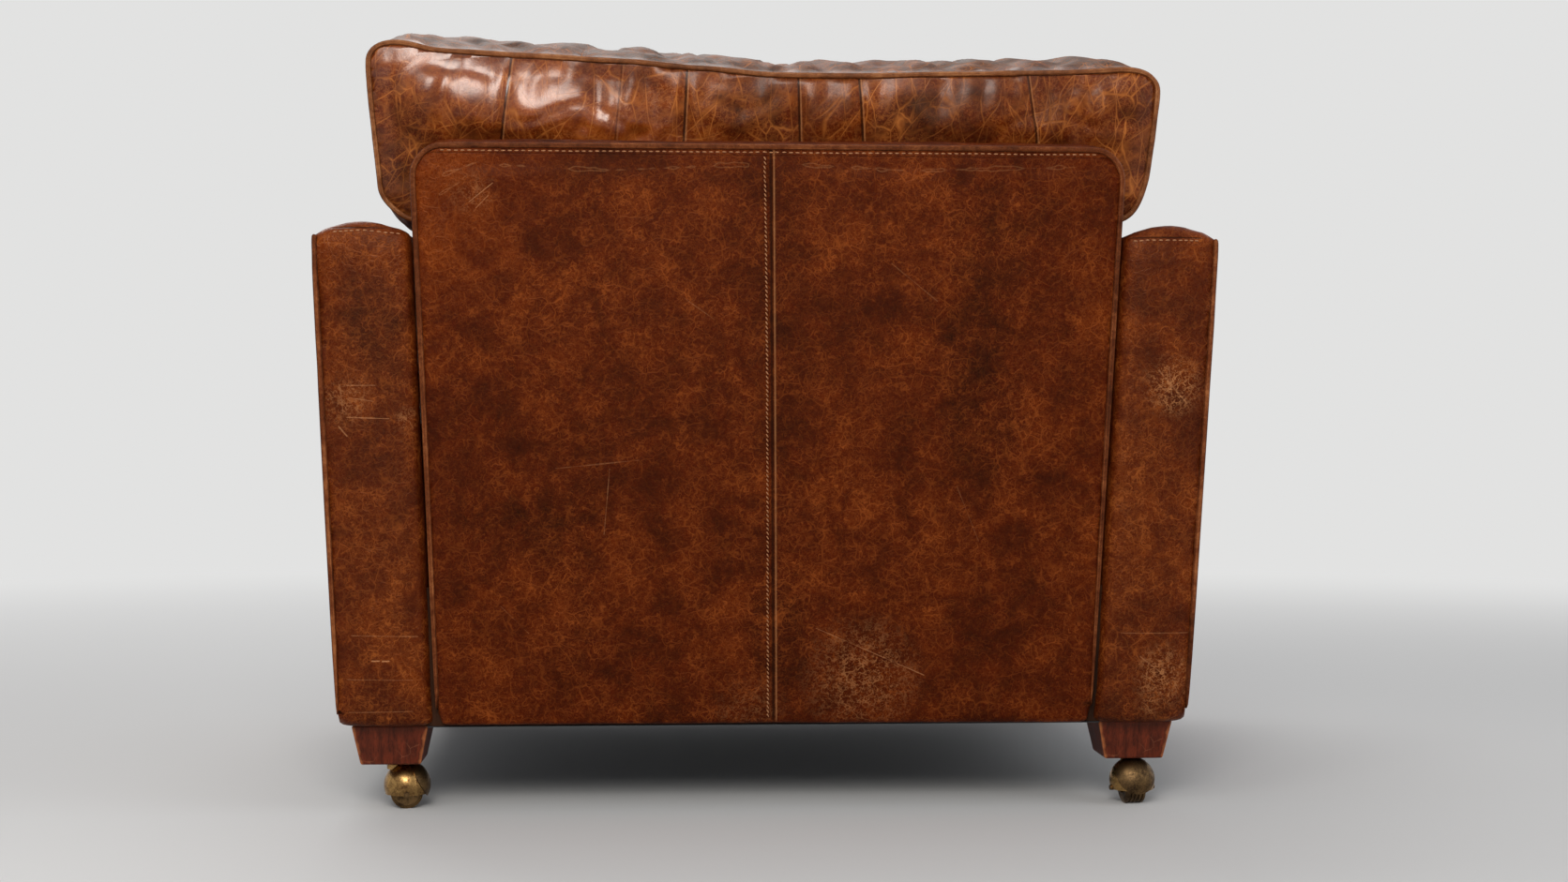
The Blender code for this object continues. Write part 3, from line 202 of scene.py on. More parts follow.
def blend_colour(tree, share, under, over, how="MIX"):
    mixer = add(tree, "Mix", data_type="RGBA", blend_type=how)
    for socket, value in ((mixer.inputs[0], share), (mixer.inputs[6], under), (mixer.inputs[7], over)):
        if isinstance(value, bpy.types.NodeSocket):
            tree.links.new(value, socket)
        else:
            socket.default_value = value
    return mixer.outputs[2]


def effect(name, inputs, outputs):
    """An empty shader group with named sockets."""
    tree = bpy.data.node_groups.new(name, "ShaderNodeTree")
    for socket, kind, value in inputs:
        made = tree.interface.new_socket(socket, in_out="INPUT", socket_type="NodeSocket" + kind)
        if value is not None:
            made.default_value = value
    for socket in outputs:
        tree.interface.new_socket(socket, in_out="OUTPUT", socket_type="NodeSocketFloat")
    return tree, tree.nodes.new("NodeGroupInput").outputs, tree.nodes.new("NodeGroupOutput").inputs


# Crazing: a net of cracks whose lines bend and break off
crazing, given, result = effect(
    "crazing",
    [("Vector", "Vector", None), ("Scale", "Float", 60.0), ("Width", "Float", 0.06), ("Broken", "Float", 0.5),
     ("Bend", "Float", 0.85)],
    ["Lines"],
)
warp_scale = times(crazing, given["Scale"], 0.8)
warp = add(crazing, "TexNoise", {"Vector": given["Vector"], "Scale": warp_scale})
warp.inputs["Detail"].default_value = 3.0
centred = add(crazing, "VectorMath", {0: warp.outputs["Color"], 1: (0.5, 0.5, 0.5)}, operation="SUBTRACT")
reach = divided(crazing, given["Bend"], given["Scale"])
moved = add(crazing, "VectorMath", {0: centred.outputs[0], "Scale": reach}, operation="SCALE")
bent = add(crazing, "VectorMath", {0: given["Vector"], 1: moved.outputs[0]}, operation="ADD").outputs[0]
cells = add(crazing, "TexVoronoi", {"Vector": bent, "Scale": given["Scale"]}, feature="DISTANCE_TO_EDGE")
crack = spread(crazing, cells.outputs["Distance"], 0.0, given["Width"], 1.0, 0.0)
gap_scale = times(crazing, given["Scale"], 0.55)
gaps = add(crazing, "TexNoise", {"Vector": given["Vector"], "Scale": gap_scale})
gaps.inputs["Detail"].default_value = 2.0
kept = spread(crazing, gaps.outputs["Fac"], given["Broken"], plus(crazing, given["Broken"], 0.14))
crazing.links.new(times(crazing, crack, kept), result["Lines"])

# Hairlines: fine curved cracks that cross each other at all angles, as in a waxed finish that has dried out
hairlines, given, result = effect(
    "hairlines",
    [("Vector", "Vector", None), ("Scale", "Float", 60.0), ("Width", "Float", 0.03),
     ("Broken", "Float", 0.48)],
    ["Lines"],
)
hair_total = None
for turn_about, grow, weaker in (
    ((0.3, 0.9, 0.2), 1.0, 1.0), ((1.2, 0.1, 2.1), 1.45, 0.9), ((2.0, 1.6, 0.7), 2.3, 0.75),
):
    turned_place = add(hairlines, "Mapping", {"Vector": given["Vector"], "Rotation": turn_about}).outputs[0]
    hair_scale = times(hairlines, given["Scale"], grow)
    inputs = {"Vector": turned_place, "Scale": hair_scale, "Detail": 2.5, "Roughness": 0.6}
    field = add(hairlines, "TexNoise", inputs)
    from_line = unsigned(hairlines, minus(hairlines, field.outputs["Fac"], 0.5))
    one_line = spread(hairlines, from_line, 0.0, given["Width"], 1.0, 0.0)
    thin_scale = times(hairlines, hair_scale, 1.3)
    thin_out = add(hairlines, "TexNoise", {"Vector": turned_place, "Scale": thin_scale})
    broken_to = plus(hairlines, given["Broken"], 0.10)
    shown_part = spread(hairlines, thin_out.outputs["Fac"], given["Broken"], broken_to)
    one_line = times(hairlines, times(hairlines, one_line, shown_part), weaker)
    hair_total = one_line if hair_total is None else most(hairlines, hair_total, one_line)
hairlines.links.new(hair_total, result["Lines"])

# Mottling: cloudy patches where oil has moved through the hide, and small flecks
mottling, given, result = effect(
    "mottling", [("Vector", "Vector", None), ("Size", "Float", 0.12)], ["Patches", "Flecks"],
)
FLECK_SCALE = 240.0
patch_scale = divided(mottling, 1.0, given["Size"])
inputs = {"Vector": given["Vector"], "Scale": patch_scale, "Detail": 6.0, "Roughness": 0.62}
patches = add(mottling, "TexNoise", inputs)
patches.inputs["Distortion"].default_value = 0.35
flecks = noise(mottling, given["Vector"], FLECK_SCALE, 4.0, Roughness=0.7)
mottling.links.new(spread(mottling, patches.outputs["Fac"], 0.30, 0.72), result["Patches"])
mottling.links.new(spread(mottling, flecks, 0.32, 0.70), result["Flecks"])

# Grain: the fine pebble of the hide's surface
hide_grain, given, result = effect(
    "hide_grain", [("Vector", "Vector", None), ("Scale", "Float", 700.0)], ["Height"],
)
inputs = {"Vector": given["Vector"], "Scale": given["Scale"], "Randomness": 0.9}
pebbles = add(hide_grain, "TexVoronoi", inputs)
pebbles.feature = "SMOOTH_F1"
pore_scale = times(hide_grain, given["Scale"], 0.35)
pores = add(hide_grain, "TexNoise", {"Vector": given["Vector"], "Scale": pore_scale})
pores.inputs["Detail"].default_value = 3.0
domes = times(hide_grain, pebbles.outputs["Distance"], -0.8)
height = plus(hide_grain, domes, pores.outputs["Fac"])
hide_grain.links.new(height, result["Height"])

# Drawn line: a seam or a scratch between two places, seen along Y, with soft ragged sides
drawn_line, given, result = effect(
    "drawn_line",
    [("Vector", "Vector", None), ("Start", "Vector", None), ("End", "Vector", None),
     ("Width", "Float", 0.001), ("Waver", "Float", 0.0), ("Ragged", "Float", 0.0)],
    ["Line"],
)
FLATTENED = (1.0, 0.0, 1.0)
flat = add(drawn_line, "VectorMath", {0: given["Vector"], 1: FLATTENED}, operation="MULTIPLY").outputs[0]
along = add(drawn_line, "VectorMath", {0: given["End"], 1: given["Start"]}, operation="SUBTRACT").outputs[0]
offset = add(drawn_line, "VectorMath", {0: flat, 1: given["Start"]}, operation="SUBTRACT").outputs[0]
length = add(drawn_line, "VectorMath", {0: along, 1: along}, operation="DOT_PRODUCT").outputs["Value"]
cast = add(drawn_line, "VectorMath", {0: offset, 1: along}, operation="DOT_PRODUCT").outputs["Value"]
share = divided(drawn_line, cast, length, clamp=True)
foot = add(drawn_line, "VectorMath", {0: along, "Scale": share}, operation="SCALE").outputs[0]
apart = add(drawn_line, "VectorMath", {0: offset, 1: foot}, operation="DISTANCE").outputs["Value"]
drift = add(drawn_line, "TexNoise", {"Vector": flat, "Scale": 45.0, "Detail": 1.0})
sway = times(drawn_line, minus(drawn_line, drift.outputs["Fac"], 0.5), given["Waver"])
breaks = add(drawn_line, "TexNoise", {"Vector": flat, "Scale": 320.0, "Detail": 2.0})
solid = minus(drawn_line, 1.0, times(drawn_line, given["Ragged"], breaks.outputs["Fac"]))
beside = unsigned(drawn_line, plus(drawn_line, apart, sway))
line = spread(drawn_line, beside, 0.0, given["Width"], 1.0, 0.0)
drawn_line.links.new(times(drawn_line, line, solid, clamp=True), result["Line"])


def placed(tree, group, inputs):
    """A copy of a shader group in a material."""
    made = tree.nodes.new("ShaderNodeGroup")
    made.node_tree = group
    for key, value in inputs.items():
        if isinstance(value, bpy.types.NodeSocket):
            tree.links.new(value, made.inputs[key])
        else:
            made.inputs[key].default_value = value
    return made.outputs


def hair_net(tree, vector, scale, width, broken):
    inputs = {"Vector": vector, "Scale": scale, "Width": width, "Broken": broken}
    return placed(tree, hairlines, inputs)["Lines"]


def strokes(tree, vector, lines):
    """The strongest of several drawn lines, each (start x, z, end x, z, width, waver, ragged, strength)."""
    total = None
    for x0, z0, x1, z1, width, waver, ragged, strength in lines:
        inputs = {"Vector": vector, "Start": (x0, 0.0, z0), "End": (x1, 0.0, z1), "Width": width}
        inputs.update({"Waver": waver, "Ragged": ragged})
        one = times(tree, placed(tree, drawn_line, inputs)["Line"], strength)
        total = one if total is None else most(tree, total, one)
    return total


CRACK_WIDTH = 0.00085
CRUMB_SCALE = 75.0
PEBBLE_SCALE = 620.0
CHALK_TONE = (0.42, 0.170, 0.060, 1.0)
SCRATCH_TONE = (0.52, 0.23, 0.095, 1.0)
# Painted highlight colour for the light lines beside seams and creases.
EDGE_HIGHLIGHT_TONE = (0.50, 0.22, 0.085, 1.0)
SEAM_TONE = (0.014, 0.004, 0.002, 1.0)
WARM_SHINE = (1.0, 0.64, 0.42, 1.0)
WAX_ROUGHNESS = 0.24
MERGE_WITHIN = 0.00002


def hide(
    name, tones, web, gloss, size=0.12, scratches=(), seams=(), rough_patches=(), edges=(),
    drawn=(1.0, 1.0, 1.0), leans=(0.0,), bend=0.85, hairs=1.0, fine_scale=170.0, shine=0.13, polish=0.0,
):
    """Waxed pull-up leather. tones are its dark, middle and light browns, web is the colour, scale and share
    of its crazing, gloss the roughness of its rubbed and dull places, and size that of its cloudy patches.
    drawn, leans and bend say how the cracks run, and hairs and fine_scale how strong and small the fine ones
    are. shine is its specular level, and polish the wax where it is rubbed."""
    material, tree, shader = painted(name)
    place = add(tree, "TexCoord").outputs["Object"]
    cloud = placed(tree, mottling, {"Vector": place, "Size": size})
    blotch = placed(tree, mottling, {"Vector": place, "Size": size * 0.27})
    wear_and_highlight = add(tree, "Attribute", attribute_name="wear_and_highlight").outputs["Fac"]
    grime_and_shade = add(tree, "Attribute", attribute_name="grime_and_shade").outputs["Fac"]
    rear = add(tree, "Attribute", attribute_name="rear").outputs["Fac"]

    ramp = tree.nodes.new("ShaderNodeValToRGB")
    for stop, tone in zip((0.0, 0.48), tones):
        at = ramp.color_ramp.elements[0] if stop == 0.0 else ramp.color_ramp.elements[1]
        at.position = stop
        at.color = (*tone, 1.0)
    last = ramp.color_ramp.elements.new(1.0)
    last.color = (*tones[2], 1.0)
    level = plus(tree, times(tree, cloud["Patches"], 0.36), times(tree, blotch["Patches"], 0.44))
    level = plus(tree, level, times(tree, cloud["Flecks"], 0.15))
    # Painted light and real wear: one attribute raises the tone for wear and for painted highlights, the
    # other lowers it for dirt and for painted shade beside the welts and on some faces.
    level = plus(tree, level, times(tree, wear_and_highlight, 0.30))
    level = minus(tree, level, times(tree, grime_and_shade, 0.50), clamp=True)
    tree.links.new(level, ramp.inputs["Fac"])
    colour = ramp.outputs["Color"]

    web_tone, web_scale, web_share = web
    coarse = None
    for number, lean in enumerate(leans):
        inputs = {"Vector": place, "Rotation": (0.0, lean, 0.0), "Scale": tuple(1.0 / part for part in drawn)}
        running = add(tree, "Mapping", inputs, vector_type="TEXTURE").outputs[0]
        inputs = {"Vector": running, "Scale": web_scale * (1.0 + 0.35 * number), "Broken": 0.42, "Bend": bend}
        inputs["Width"] = CRACK_WIDTH * inputs["Scale"]
        layer = placed(tree, crazing, inputs)["Lines"]
        coarse = layer if coarse is None else most(tree, coarse, layer)
    fine = hair_net(tree, running, web_scale, 0.032, 0.45)
    finest = hair_net(tree, place, fine_scale, 0.052, 0.43)
    net = most(tree, times(tree, coarse, 0.9), times(tree, fine, hairs))
    net = most(tree, net, times(tree, finest, 0.50))
    patchy = times(tree, net, spread(tree, blotch["Patches"], 0.10, 0.70, 0.30, 1.0))
    patchy = times(tree, patchy, spread(tree, cloud["Patches"], 0.15, 0.70, 0.45, 1.0))
    colour = blend_colour(tree, times(tree, patchy, web_share), colour, (*web_tone, 1.0))
    lift = times(tree, cloud["Flecks"], 0.25)
    lift = plus(tree, lift, times(tree, net, -0.8))
    lift = plus(tree, lift, times(tree, blotch["Patches"], 0.7))

    if rough_patches:
        chalk = None
        for x, z, radius, strength in rough_patches:
            flat_place = add(tree, "VectorMath", {0: place, 1: FLATTENED}, operation="MULTIPLY").outputs[0]
            away = add(tree, "VectorMath", {0: flat_place, 1: (x, 0.0, z)}, operation="DISTANCE")
            away = away.outputs["Value"]
            near = times(tree, spread(tree, away, radius * 0.25, radius, 1.0, 0.0), strength)
            chalk = near if chalk is None else most(tree, chalk, near)
        crumbs = hair_net(tree, place, CRUMB_SCALE, 0.034, 0.43)
        chalk = times(tree, times(tree, chalk, crumbs), rear)
        colour = blend_colour(tree, chalk, colour, CHALK_TONE)
    if scratches:
        scored = times(tree, strokes(tree, place, scratches), rear)
        colour = blend_colour(tree, scored, colour, SCRATCH_TONE)
        lift = plus(tree, lift, times(tree, scored, -1.2))
    # Painted highlights: light lines beside seams and creases, drawn slightly raised.
    if edges:
        edge_highlight = times(tree, strokes(tree, place, edges), rear)
        colour = blend_colour(tree, edge_highlight, colour, EDGE_HIGHLIGHT_TONE)
        lift = plus(tree, lift, times(tree, edge_highlight, 1.6))
    if seams:
        sunk = times(tree, strokes(tree, place, seams), rear)
        colour = blend_colour(tree, sunk, colour, SEAM_TONE)
        lift = plus(tree, lift, times(tree, sunk, -5.0))

    tree.links.new(colour, shader.inputs["Base Color"])
    sheen = plus(tree, times(tree, cloud["Patches"], 0.5), times(tree, blotch["Patches"], 0.3))
    sheen = minus(tree, plus(tree, sheen, times(tree, wear_and_highlight, 0.6)), grime_and_shade, clamp=True)
    dulled = spread(tree, sheen, 0.10, 0.9, gloss[1], gloss[0])
    tree.links.new(plus(tree, dulled, times(tree, net, 0.10)), shader.inputs["Roughness"])
    shader.inputs["Specular IOR Level"].default_value = shine
    shader.inputs["Specular Tint"].default_value = WARM_SHINE
    if polish:
        tree.links.new(times(tree, wear_and_highlight, polish, clamp=True), shader.inputs["Coat Weight"])
        shader.inputs["Coat Roughness"].default_value = WAX_ROUGHNESS
    grain = placed(tree, hide_grain, {"Vector": place, "Scale": PEBBLE_SCALE})["Height"]
    fine_bump = add(tree, "Bump", {"Strength": 0.07, "Distance": 0.0005, "Height": grain})
    inputs = {"Strength": 0.50, "Distance": 0.0007, "Height": lift, "Normal": fine_bump.outputs[0]}
    tree.links.new(add(tree, "Bump", inputs).outputs[0], shader.inputs["Normal"])
    return material


def points_of(piece):
    """A piece's points and their normals, as arrays of rows."""
    mesh = piece.data
    places, normals = np.empty(len(mesh.vertices) * 3), np.empty(len(mesh.vertices) * 3)
    mesh.vertices.foreach_get("co", places)
    mesh.vertices.foreach_get("normal", normals)
    return places.reshape(-1, 3), normals.reshape(-1, 3)


def cloudy(places, size, seed):
    """Smooth random hills from -1 to 1, about size across, the same on every run."""
    scaled = places / size + seed * 13.7
    cell = np.floor(scaled)
    inside = scaled - cell
    inside = inside * inside * (3.0 - 2.0 * inside)
    total = np.zeros(len(places))
    for corner in np.ndindex(2, 2, 2):
        at = cell + corner
        value = np.sin(at @ np.array((127.1, 311.7, 74.7)) + seed) * 43758.5453
        value = 2.0 * (value - np.floor(value)) - 1.0
        weight = np.ones(len(places))
        for axis in range(3):
            weight = weight * (inside[:, axis] if corner[axis] else 1.0 - inside[:, axis])
        total += weight * value
    return total


def bell(values, width):
    """1 where values are 0, and less the further they are from it."""
    return np.exp(-((values / width) ** 2))


def ridged(places, size, seed):
    """Sharp random valleys between soft humps, from -1 in a valley to 0."""
    return -bell(cloudy(places, size, seed), 0.10)


def eased(low, high, values):
    share = np.clip((values - low) / (high - low), 0.0, 1.0)
    return share * share * (3.0 - 2.0 * share)


def picked(piece):
    """Makes a piece the only selected one, and the active one."""
    bpy.ops.object.select_all(action="DESELECT")
    piece.select_set(True)
    bpy.context.view_layer.objects.active = piece


def joined_copy(node, name):
    """A copy of a CAD piece with its triangles joined up, left in edit mode with all of it selected."""
    piece = linked(name, frame["nodes"][node].data.copy())
    picked(piece)
    bpy.ops.object.mode_set(mode="EDIT")
    bpy.ops.mesh.select_all(action="SELECT")
    bpy.ops.mesh.remove_doubles(threshold=MERGE_WITHIN)
    return piece


def dressed(piece, node, material):
    """Gives a padded cover its leather, hangs it on the root body and hides the CAD piece that it stands for.
    """
    piece.data.materials.clear()
    piece.data.materials.append(material)
    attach(piece, "root")
    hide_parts(node)


def cover_over(node, name, voxel, closed=False):
    """A fine mesh over a plain CAD piece; closed fills the hollow that its timber lies in."""
    piece = joined_copy(node, name)
    if closed:
        bpy.ops.mesh.convex_hull()
    bpy.ops.object.mode_set(mode="OBJECT")
    remesh = piece.modifiers.new("fine_cover", "REMESH")
    remesh.mode = "VOXEL"
    remesh.voxel_size = voxel
    remesh.use_smooth_shade = True
    bpy.ops.object.modifier_apply(modifier=remesh.name)
    bpy.ops.object.mode_set(mode="EDIT")
    bpy.ops.mesh.select_all(action="SELECT")
    bpy.ops.mesh.vertices_smooth(factor=0.5, repeat=2)
    bpy.ops.object.mode_set(mode="OBJECT")
    return piece


def press(piece, depth):
    """Moves each point out along its normal by a depth."""
    places, normals = points_of(piece)
    moved_places = places + normals * depth[:, None]
    piece.data.vertices.foreach_set("co", moved_places.ravel())
    piece.data.update()


def note(piece, name, values):
    """Keeps one number for each point, for the leather to read."""
    held = piece.data.attributes.new(name, "FLOAT", "POINT")
    held.data.foreach_set("value", np.clip(values, 0.0, 1.0).astype(np.float32))


welt_skins = {}


def welt_from(node, name, material, crest_tilt):
    """Leather sewn round a cord: the CAD piece made round, with a slightly uneven run."""
    piece = joined_copy(node, name)
    bpy.ops.mesh.tris_convert_to_quads(face_threshold=1.2, shape_threshold=1.2)
    bpy.ops.object.mode_set(mode="OBJECT")
    rounder = piece.modifiers.new("round", "SUBSURF")
    rounder.levels = rounder.render_levels = 2
    bpy.ops.object.modifier_apply(modifier=rounder.name)
    bpy.ops.object.shade_smooth()
    places, _ = points_of(piece)
    press(piece, 0.0003 + 0.00035 * cloudy(places, 0.022, 3) + 0.00015 * cloudy(places, 0.006, 8))
    _, normals = points_of(piece)
    polygons = [tuple(polygon.vertices) for polygon in piece.data.polygons]
    welt_skins[node] = ([vertex.co.copy() for vertex in piece.data.vertices], polygons)
    # Painted highlight and wear: the crest of the cord that faces along Y is lightened and made glossier; the
    # rest of the cord is darkened at random as dirt.
    worn_along = eased(-0.7, 0.2, cloudy(places, 0.06, 5))
    lit_worn_crest = bell(np.abs(normals[:, 1]) - crest_tilt, 0.10) * worn_along
    note(piece, "wear_and_highlight", lit_worn_crest)
    note(piece, "grime_and_shade", 0.45 + 0.4 * cloudy(places, 0.05, 12) - 0.45 * lit_worn_crest)
    note(piece, "rear", np.zeros(len(places)))
    dressed(piece, node, material)


BODY_WELT_TONES = ((0.040, 0.008, 0.003), (0.120, 0.026, 0.007), (0.340, 0.120, 0.040))
body_welt_hide = hide(
    "body_welt_hide", BODY_WELT_TONES, ((0.36, 0.13, 0.045), 130.0, 0.4), (0.34, 0.50), size=0.05,
)
CUSHION_WELT_TONES = ((0.060, 0.014, 0.004), (0.185, 0.052, 0.013), (0.420, 0.190, 0.075))
cushion_welt_hide = hide(
    "cushion_welt_hide", CUSHION_WELT_TONES, ((0.45, 0.20, 0.08), 120.0, 0.4), (0.26, 0.44), size=0.05,
    shine=0.40,
)
ARM_CREST, BACK_CREST, CUSHION_CREST = 0.92, 0.80, 0.85
for node, welt_hide, crest_tilt in (
    ("arm_welt_rear_left", body_welt_hide, ARM_CREST), ("arm_welt_rear_right", body_welt_hide, ARM_CREST),
    ("arm_welt_front_left", body_welt_hide, ARM_CREST), ("arm_welt_front_right", body_welt_hide, ARM_CREST),
    ("outside_back_welt", body_welt_hide, BACK_CREST),
    ("back_cushion_welt_rear", cushion_welt_hide, CUSHION_CREST),
    ("back_cushion_welt_front", cushion_welt_hide, CUSHION_CREST),
    ("seat_cushion_welt_top", cushion_welt_hide, CUSHION_CREST),
    ("seat_cushion_welt_bottom", cushion_welt_hide, CUSHION_CREST),
):
    welt_from(node, "sewn_" + node, welt_hide, crest_tilt)


def welts_joined(nodes):
    """The surface of several welts as one tree, which finds the nearest place on them."""
    corners, faces = [], []
    for node in nodes:
        points, polygons = welt_skins[node]
        faces += [[len(corners) + number for number in polygon] for polygon in polygons]
        corners += points
    return BVHTree.FromPolygons(corners, faces)


all_welts = welts_joined(welt_skins)


def from_welts(piece):
    """How far each point of a piece is from the nearest welt."""
    places, _ = points_of(piece)
    return np.array([all_welts.find_nearest(Vector(place))[3] for place in places])


def sewn_to(piece, *nodes):
    """Draws a cover's edges in to the welts that they are sewn to, and a little into them."""
    surface = welts_joined(nodes)
    places, _ = points_of(piece)
    found = [surface.find_nearest(Vector(place)) for place in places]
    reach = np.array([one[0] for one in found]) - places
    facing = np.array([one[1] for one in found])
    gap = np.array([one[3] for one in found])
    outside = np.sum(reach * facing, axis=1) < 0.0
    share = outside * eased(0.016, 0.007, gap) * (1.0 + 0.0012 / np.maximum(gap, 0.0006))
    piece.data.vertices.foreach_set("co", (places + reach * share[:, None]).ravel())
    piece.data.update()


BODY_TONES = ((0.013, 0.0014, 0.0004), (0.056, 0.0056, 0.0008), (0.140, 0.0215, 0.0024))
ARM_TONES = ((0.015, 0.0017, 0.0005), (0.066, 0.0076, 0.0010), (0.165, 0.0280, 0.0030))
ARM_SCRATCHES = (
    (0.4291, 0.1709, 0.4215, 0.1709, 0.0011, 0.0, 0.2, 1.0),
    (0.4180, 0.1706, 0.4110, 0.1708, 0.0011, 0.0, 0.2, 1.0),
    (0.4600, 0.4250, 0.4514, 0.4150, 0.0012, 0.001, 0.8, 0.8),
    (0.4503, 0.4689, 0.4206, 0.4690, 0.0007, 0.0006, 0.9, 0.7),
    (0.4510, 0.4350, 0.4064, 0.4335, 0.0008, 0.0010, 0.8, 0.8),
    (0.4582, 0.4699, 0.4549, 0.4400, 0.0007, 0.0008, 0.7, 0.7),
    (0.4490, 0.4560, 0.4230, 0.4520, 0.0006, 0.0010, 1.0, 0.6),
    (0.4507, 0.1988, 0.3803, 0.1975, 0.0008, 0.0012, 1.0, 0.55),
    (0.4567, 0.1504, 0.3861, 0.1495, 0.0007, 0.0010, 1.0, 0.5),
    (0.4555, 0.1141, 0.3867, 0.1150, 0.0007, 0.0010, 1.0, 0.5),
    (-0.4230, 0.4864, -0.4552, 0.4508, 0.0012, 0.0030, 0.9, 0.55),
    (-0.4300, 0.4620, -0.4500, 0.4760, 0.0010, 0.0020, 1.0, 0.6),
    (-0.4340, 0.4900, -0.4380, 0.4600, 0.0010, 0.0020, 1.0, 0.6),
    (-0.3905, 0.1975, -0.4745, 0.1971, 0.0008, 0.0012, 1.0, 0.5),
    (-0.4123, 0.1711, -0.4400, 0.1500, 0.0010, 0.0020, 1.0, 0.6),
)
ARM_SEAMS = (
    (0.4660, 0.6352, 0.3890, 0.6356, 0.0012, 0.0004, 0.0, 0.85),
    (-0.3890, 0.6290, -0.4660, 0.6290, 0.0012, 0.0004, 0.0, 0.85),
)
ARM_CHALK = (
    (0.452, 0.452, 0.035, 0.5), (-0.440, 0.470, 0.040, 0.9), (-0.440, 0.150, 0.042, 0.85),
    (-0.425, 0.118, 0.02, 0.5), (0.386, 0.433, 0.018, 0.5),
)
arm_hide = hide(
    "arm_hide", ARM_TONES, ((0.33, 0.088, 0.016), 54.0, 0.70), (0.20, 0.44), shine=0.15,
    scratches=ARM_SCRATCHES, seams=ARM_SEAMS, rough_patches=ARM_CHALK,
)
for side, sign in (("left", 1.0), ("right", -1.0)):
    arm = cover_over(f"arm_cover_{side}", f"arm_leather_{side}", 0.006, closed=True)
    places, normals = points_of(arm)
    x, y, z = places.T
    away = from_welts(arm)
    swell = 0.0016 * cloudy(places, 0.21, 4) + 0.0006 * cloudy(places, 0.05, 6)
    pucker = 0.0008 * cloudy(places * np.array((1.0, 1.0, 0.4)), 0.016, 9) * np.exp(-away / 0.03)
    folds = 0.0009 * ridged(places, 0.11, 21 + sign) * eased(0.30, 0.62, cloudy(places, 0.3, 2) + 0.4)
    press(arm, (swell + folds) * eased(0.0, 0.03, away) + pucker * eased(0.001, 0.01, away))
    sewn_to(arm, f"arm_welt_rear_{side}", f"arm_welt_front_{side}")
    top = eased(0.60, 0.645, z)
    ends = eased(0.75, 0.98, np.abs(normals[:, 1]))
    # Painted highlight: the upper rear end of each arm is lightened, the left one twice as much.
    highlight_share = 1.0 if sign > 0 else 0.5
    shoulder_highlight = 0.5 * bell(z - 0.600, 0.035) * eased(0.5, 0.8, normals[:, 1]) * highlight_share
    polished = 0.55 * top * (0.6 + 0.4 * cloudy(places, 0.09, 7))
    note(arm, "wear_and_highlight", polished + 0.30 * bell(away - 0.012, 0.006) + shoulder_highlight)
    blotches = 0.25 * ends * eased(0.2, 0.7, cloudy(places, 0.12, 15))
    # Painted shade in the groove beside the welts, random dirt on the ends, and darker towards the bottom.
    note(arm, "grime_and_shade", 0.75 * np.exp(-away / 0.0045) + 0.35 * eased(0.16, 0.10, z) + blotches)
    note(arm, "rear", eased(0.5, 0.8, normals[:, 1]))
    dressed(arm, f"arm_cover_{side}", arm_hide)


# Outside back: two hides sewn together down the middle and pulled over the back frame, with a top and side
# band, sewn in at a welt. It has soft creases under the top edge and fine scratches.

BACK_SCRATCHES = (
    (0.3190, 0.6625, 0.2942, 0.6821, 0.0007, 0.001, 0.6, 0.75),
    (0.3120, 0.6560, 0.2990, 0.6690, 0.0005, 0.001, 0.8, 0.6),
    (-0.0529, 0.2045, -0.1726, 0.1515, 0.0006, 0.0015, 0.9, 0.75),
    (0.1719, 0.3796, 0.1780, 0.3084, 0.0006, 0.0020, 1.0, 0.5),
    (0.1400, 0.3890, 0.2300, 0.3800, 0.0005, 0.0020, 1.0, 0.4),
    (-0.2300, 0.3000, -0.2050, 0.3600, 0.0005, 0.0020, 1.0, 0.35),
    (0.0600, 0.5400, 0.1100, 0.5750, 0.0005, 0.0020, 1.0, 0.35),
    (-0.1300, 0.6000, -0.1800, 0.5600, 0.0005, 0.0020, 1.0, 0.35),
    (0.2600, 0.2000, 0.2900, 0.2300, 0.0005, 0.0020, 1.0, 0.35),
)
BACK_SEAMS = (
    (0.0002, 0.7200, -0.0072, 0.0970, 0.0022, 0.0008, 0.0, 0.9),
    (0.3640, 0.7135, -0.3700, 0.7125, 0.0011, 0.0012, 0.4, 0.45),
)
# Painted highlights: light lines beside the middle seam and along the crease under the top band.
BACK_HIGHLIGHT_EDGES = (
    (-0.0030, 0.7200, -0.0104, 0.0970, 0.0014, 0.0008, 0.5, 0.55),
    (0.3050, 0.7015, 0.1700, 0.6960, 0.0010, 0.0140, 0.9, 0.34),
    (0.1700, 0.6960, 0.0250, 0.7035, 0.0010, 0.0140, 0.9, 0.30),
    (-0.0250, 0.7040, -0.1500, 0.6980, 0.0010, 0.0140, 0.9, 0.30),
    (-0.1500, 0.6980, -0.3300, 0.7030, 0.0010, 0.0140, 0.9, 0.28),
    (0.3450, 0.6900, 0.3000, 0.7080, 0.0010, 0.0080, 0.8, 0.35),
    (0.3500, 0.6700, 0.3250, 0.6850, 0.0008, 0.0080, 0.8, 0.30),
)
BACK_CHALK = ((-0.105, 0.152, 0.075, 0.55), (0.315, 0.672, 0.03, 0.3), (0.02, 0.11, 0.05, 0.25))
back_hide = hide(
    "back_hide", BODY_TONES, ((0.29, 0.070, 0.012), 54.0, 0.66), (0.27, 0.48), size=0.13, shine=0.09,
    scratches=BACK_SCRATCHES, seams=BACK_SEAMS, rough_patches=BACK_CHALK, edges=BACK_HIGHLIGHT_EDGES,
)
SEAM_LEAN = 0.0119
back = cover_over("outside_back_cover", "outside_back_leather", 0.005, closed=True)
places, normals = points_of(back)
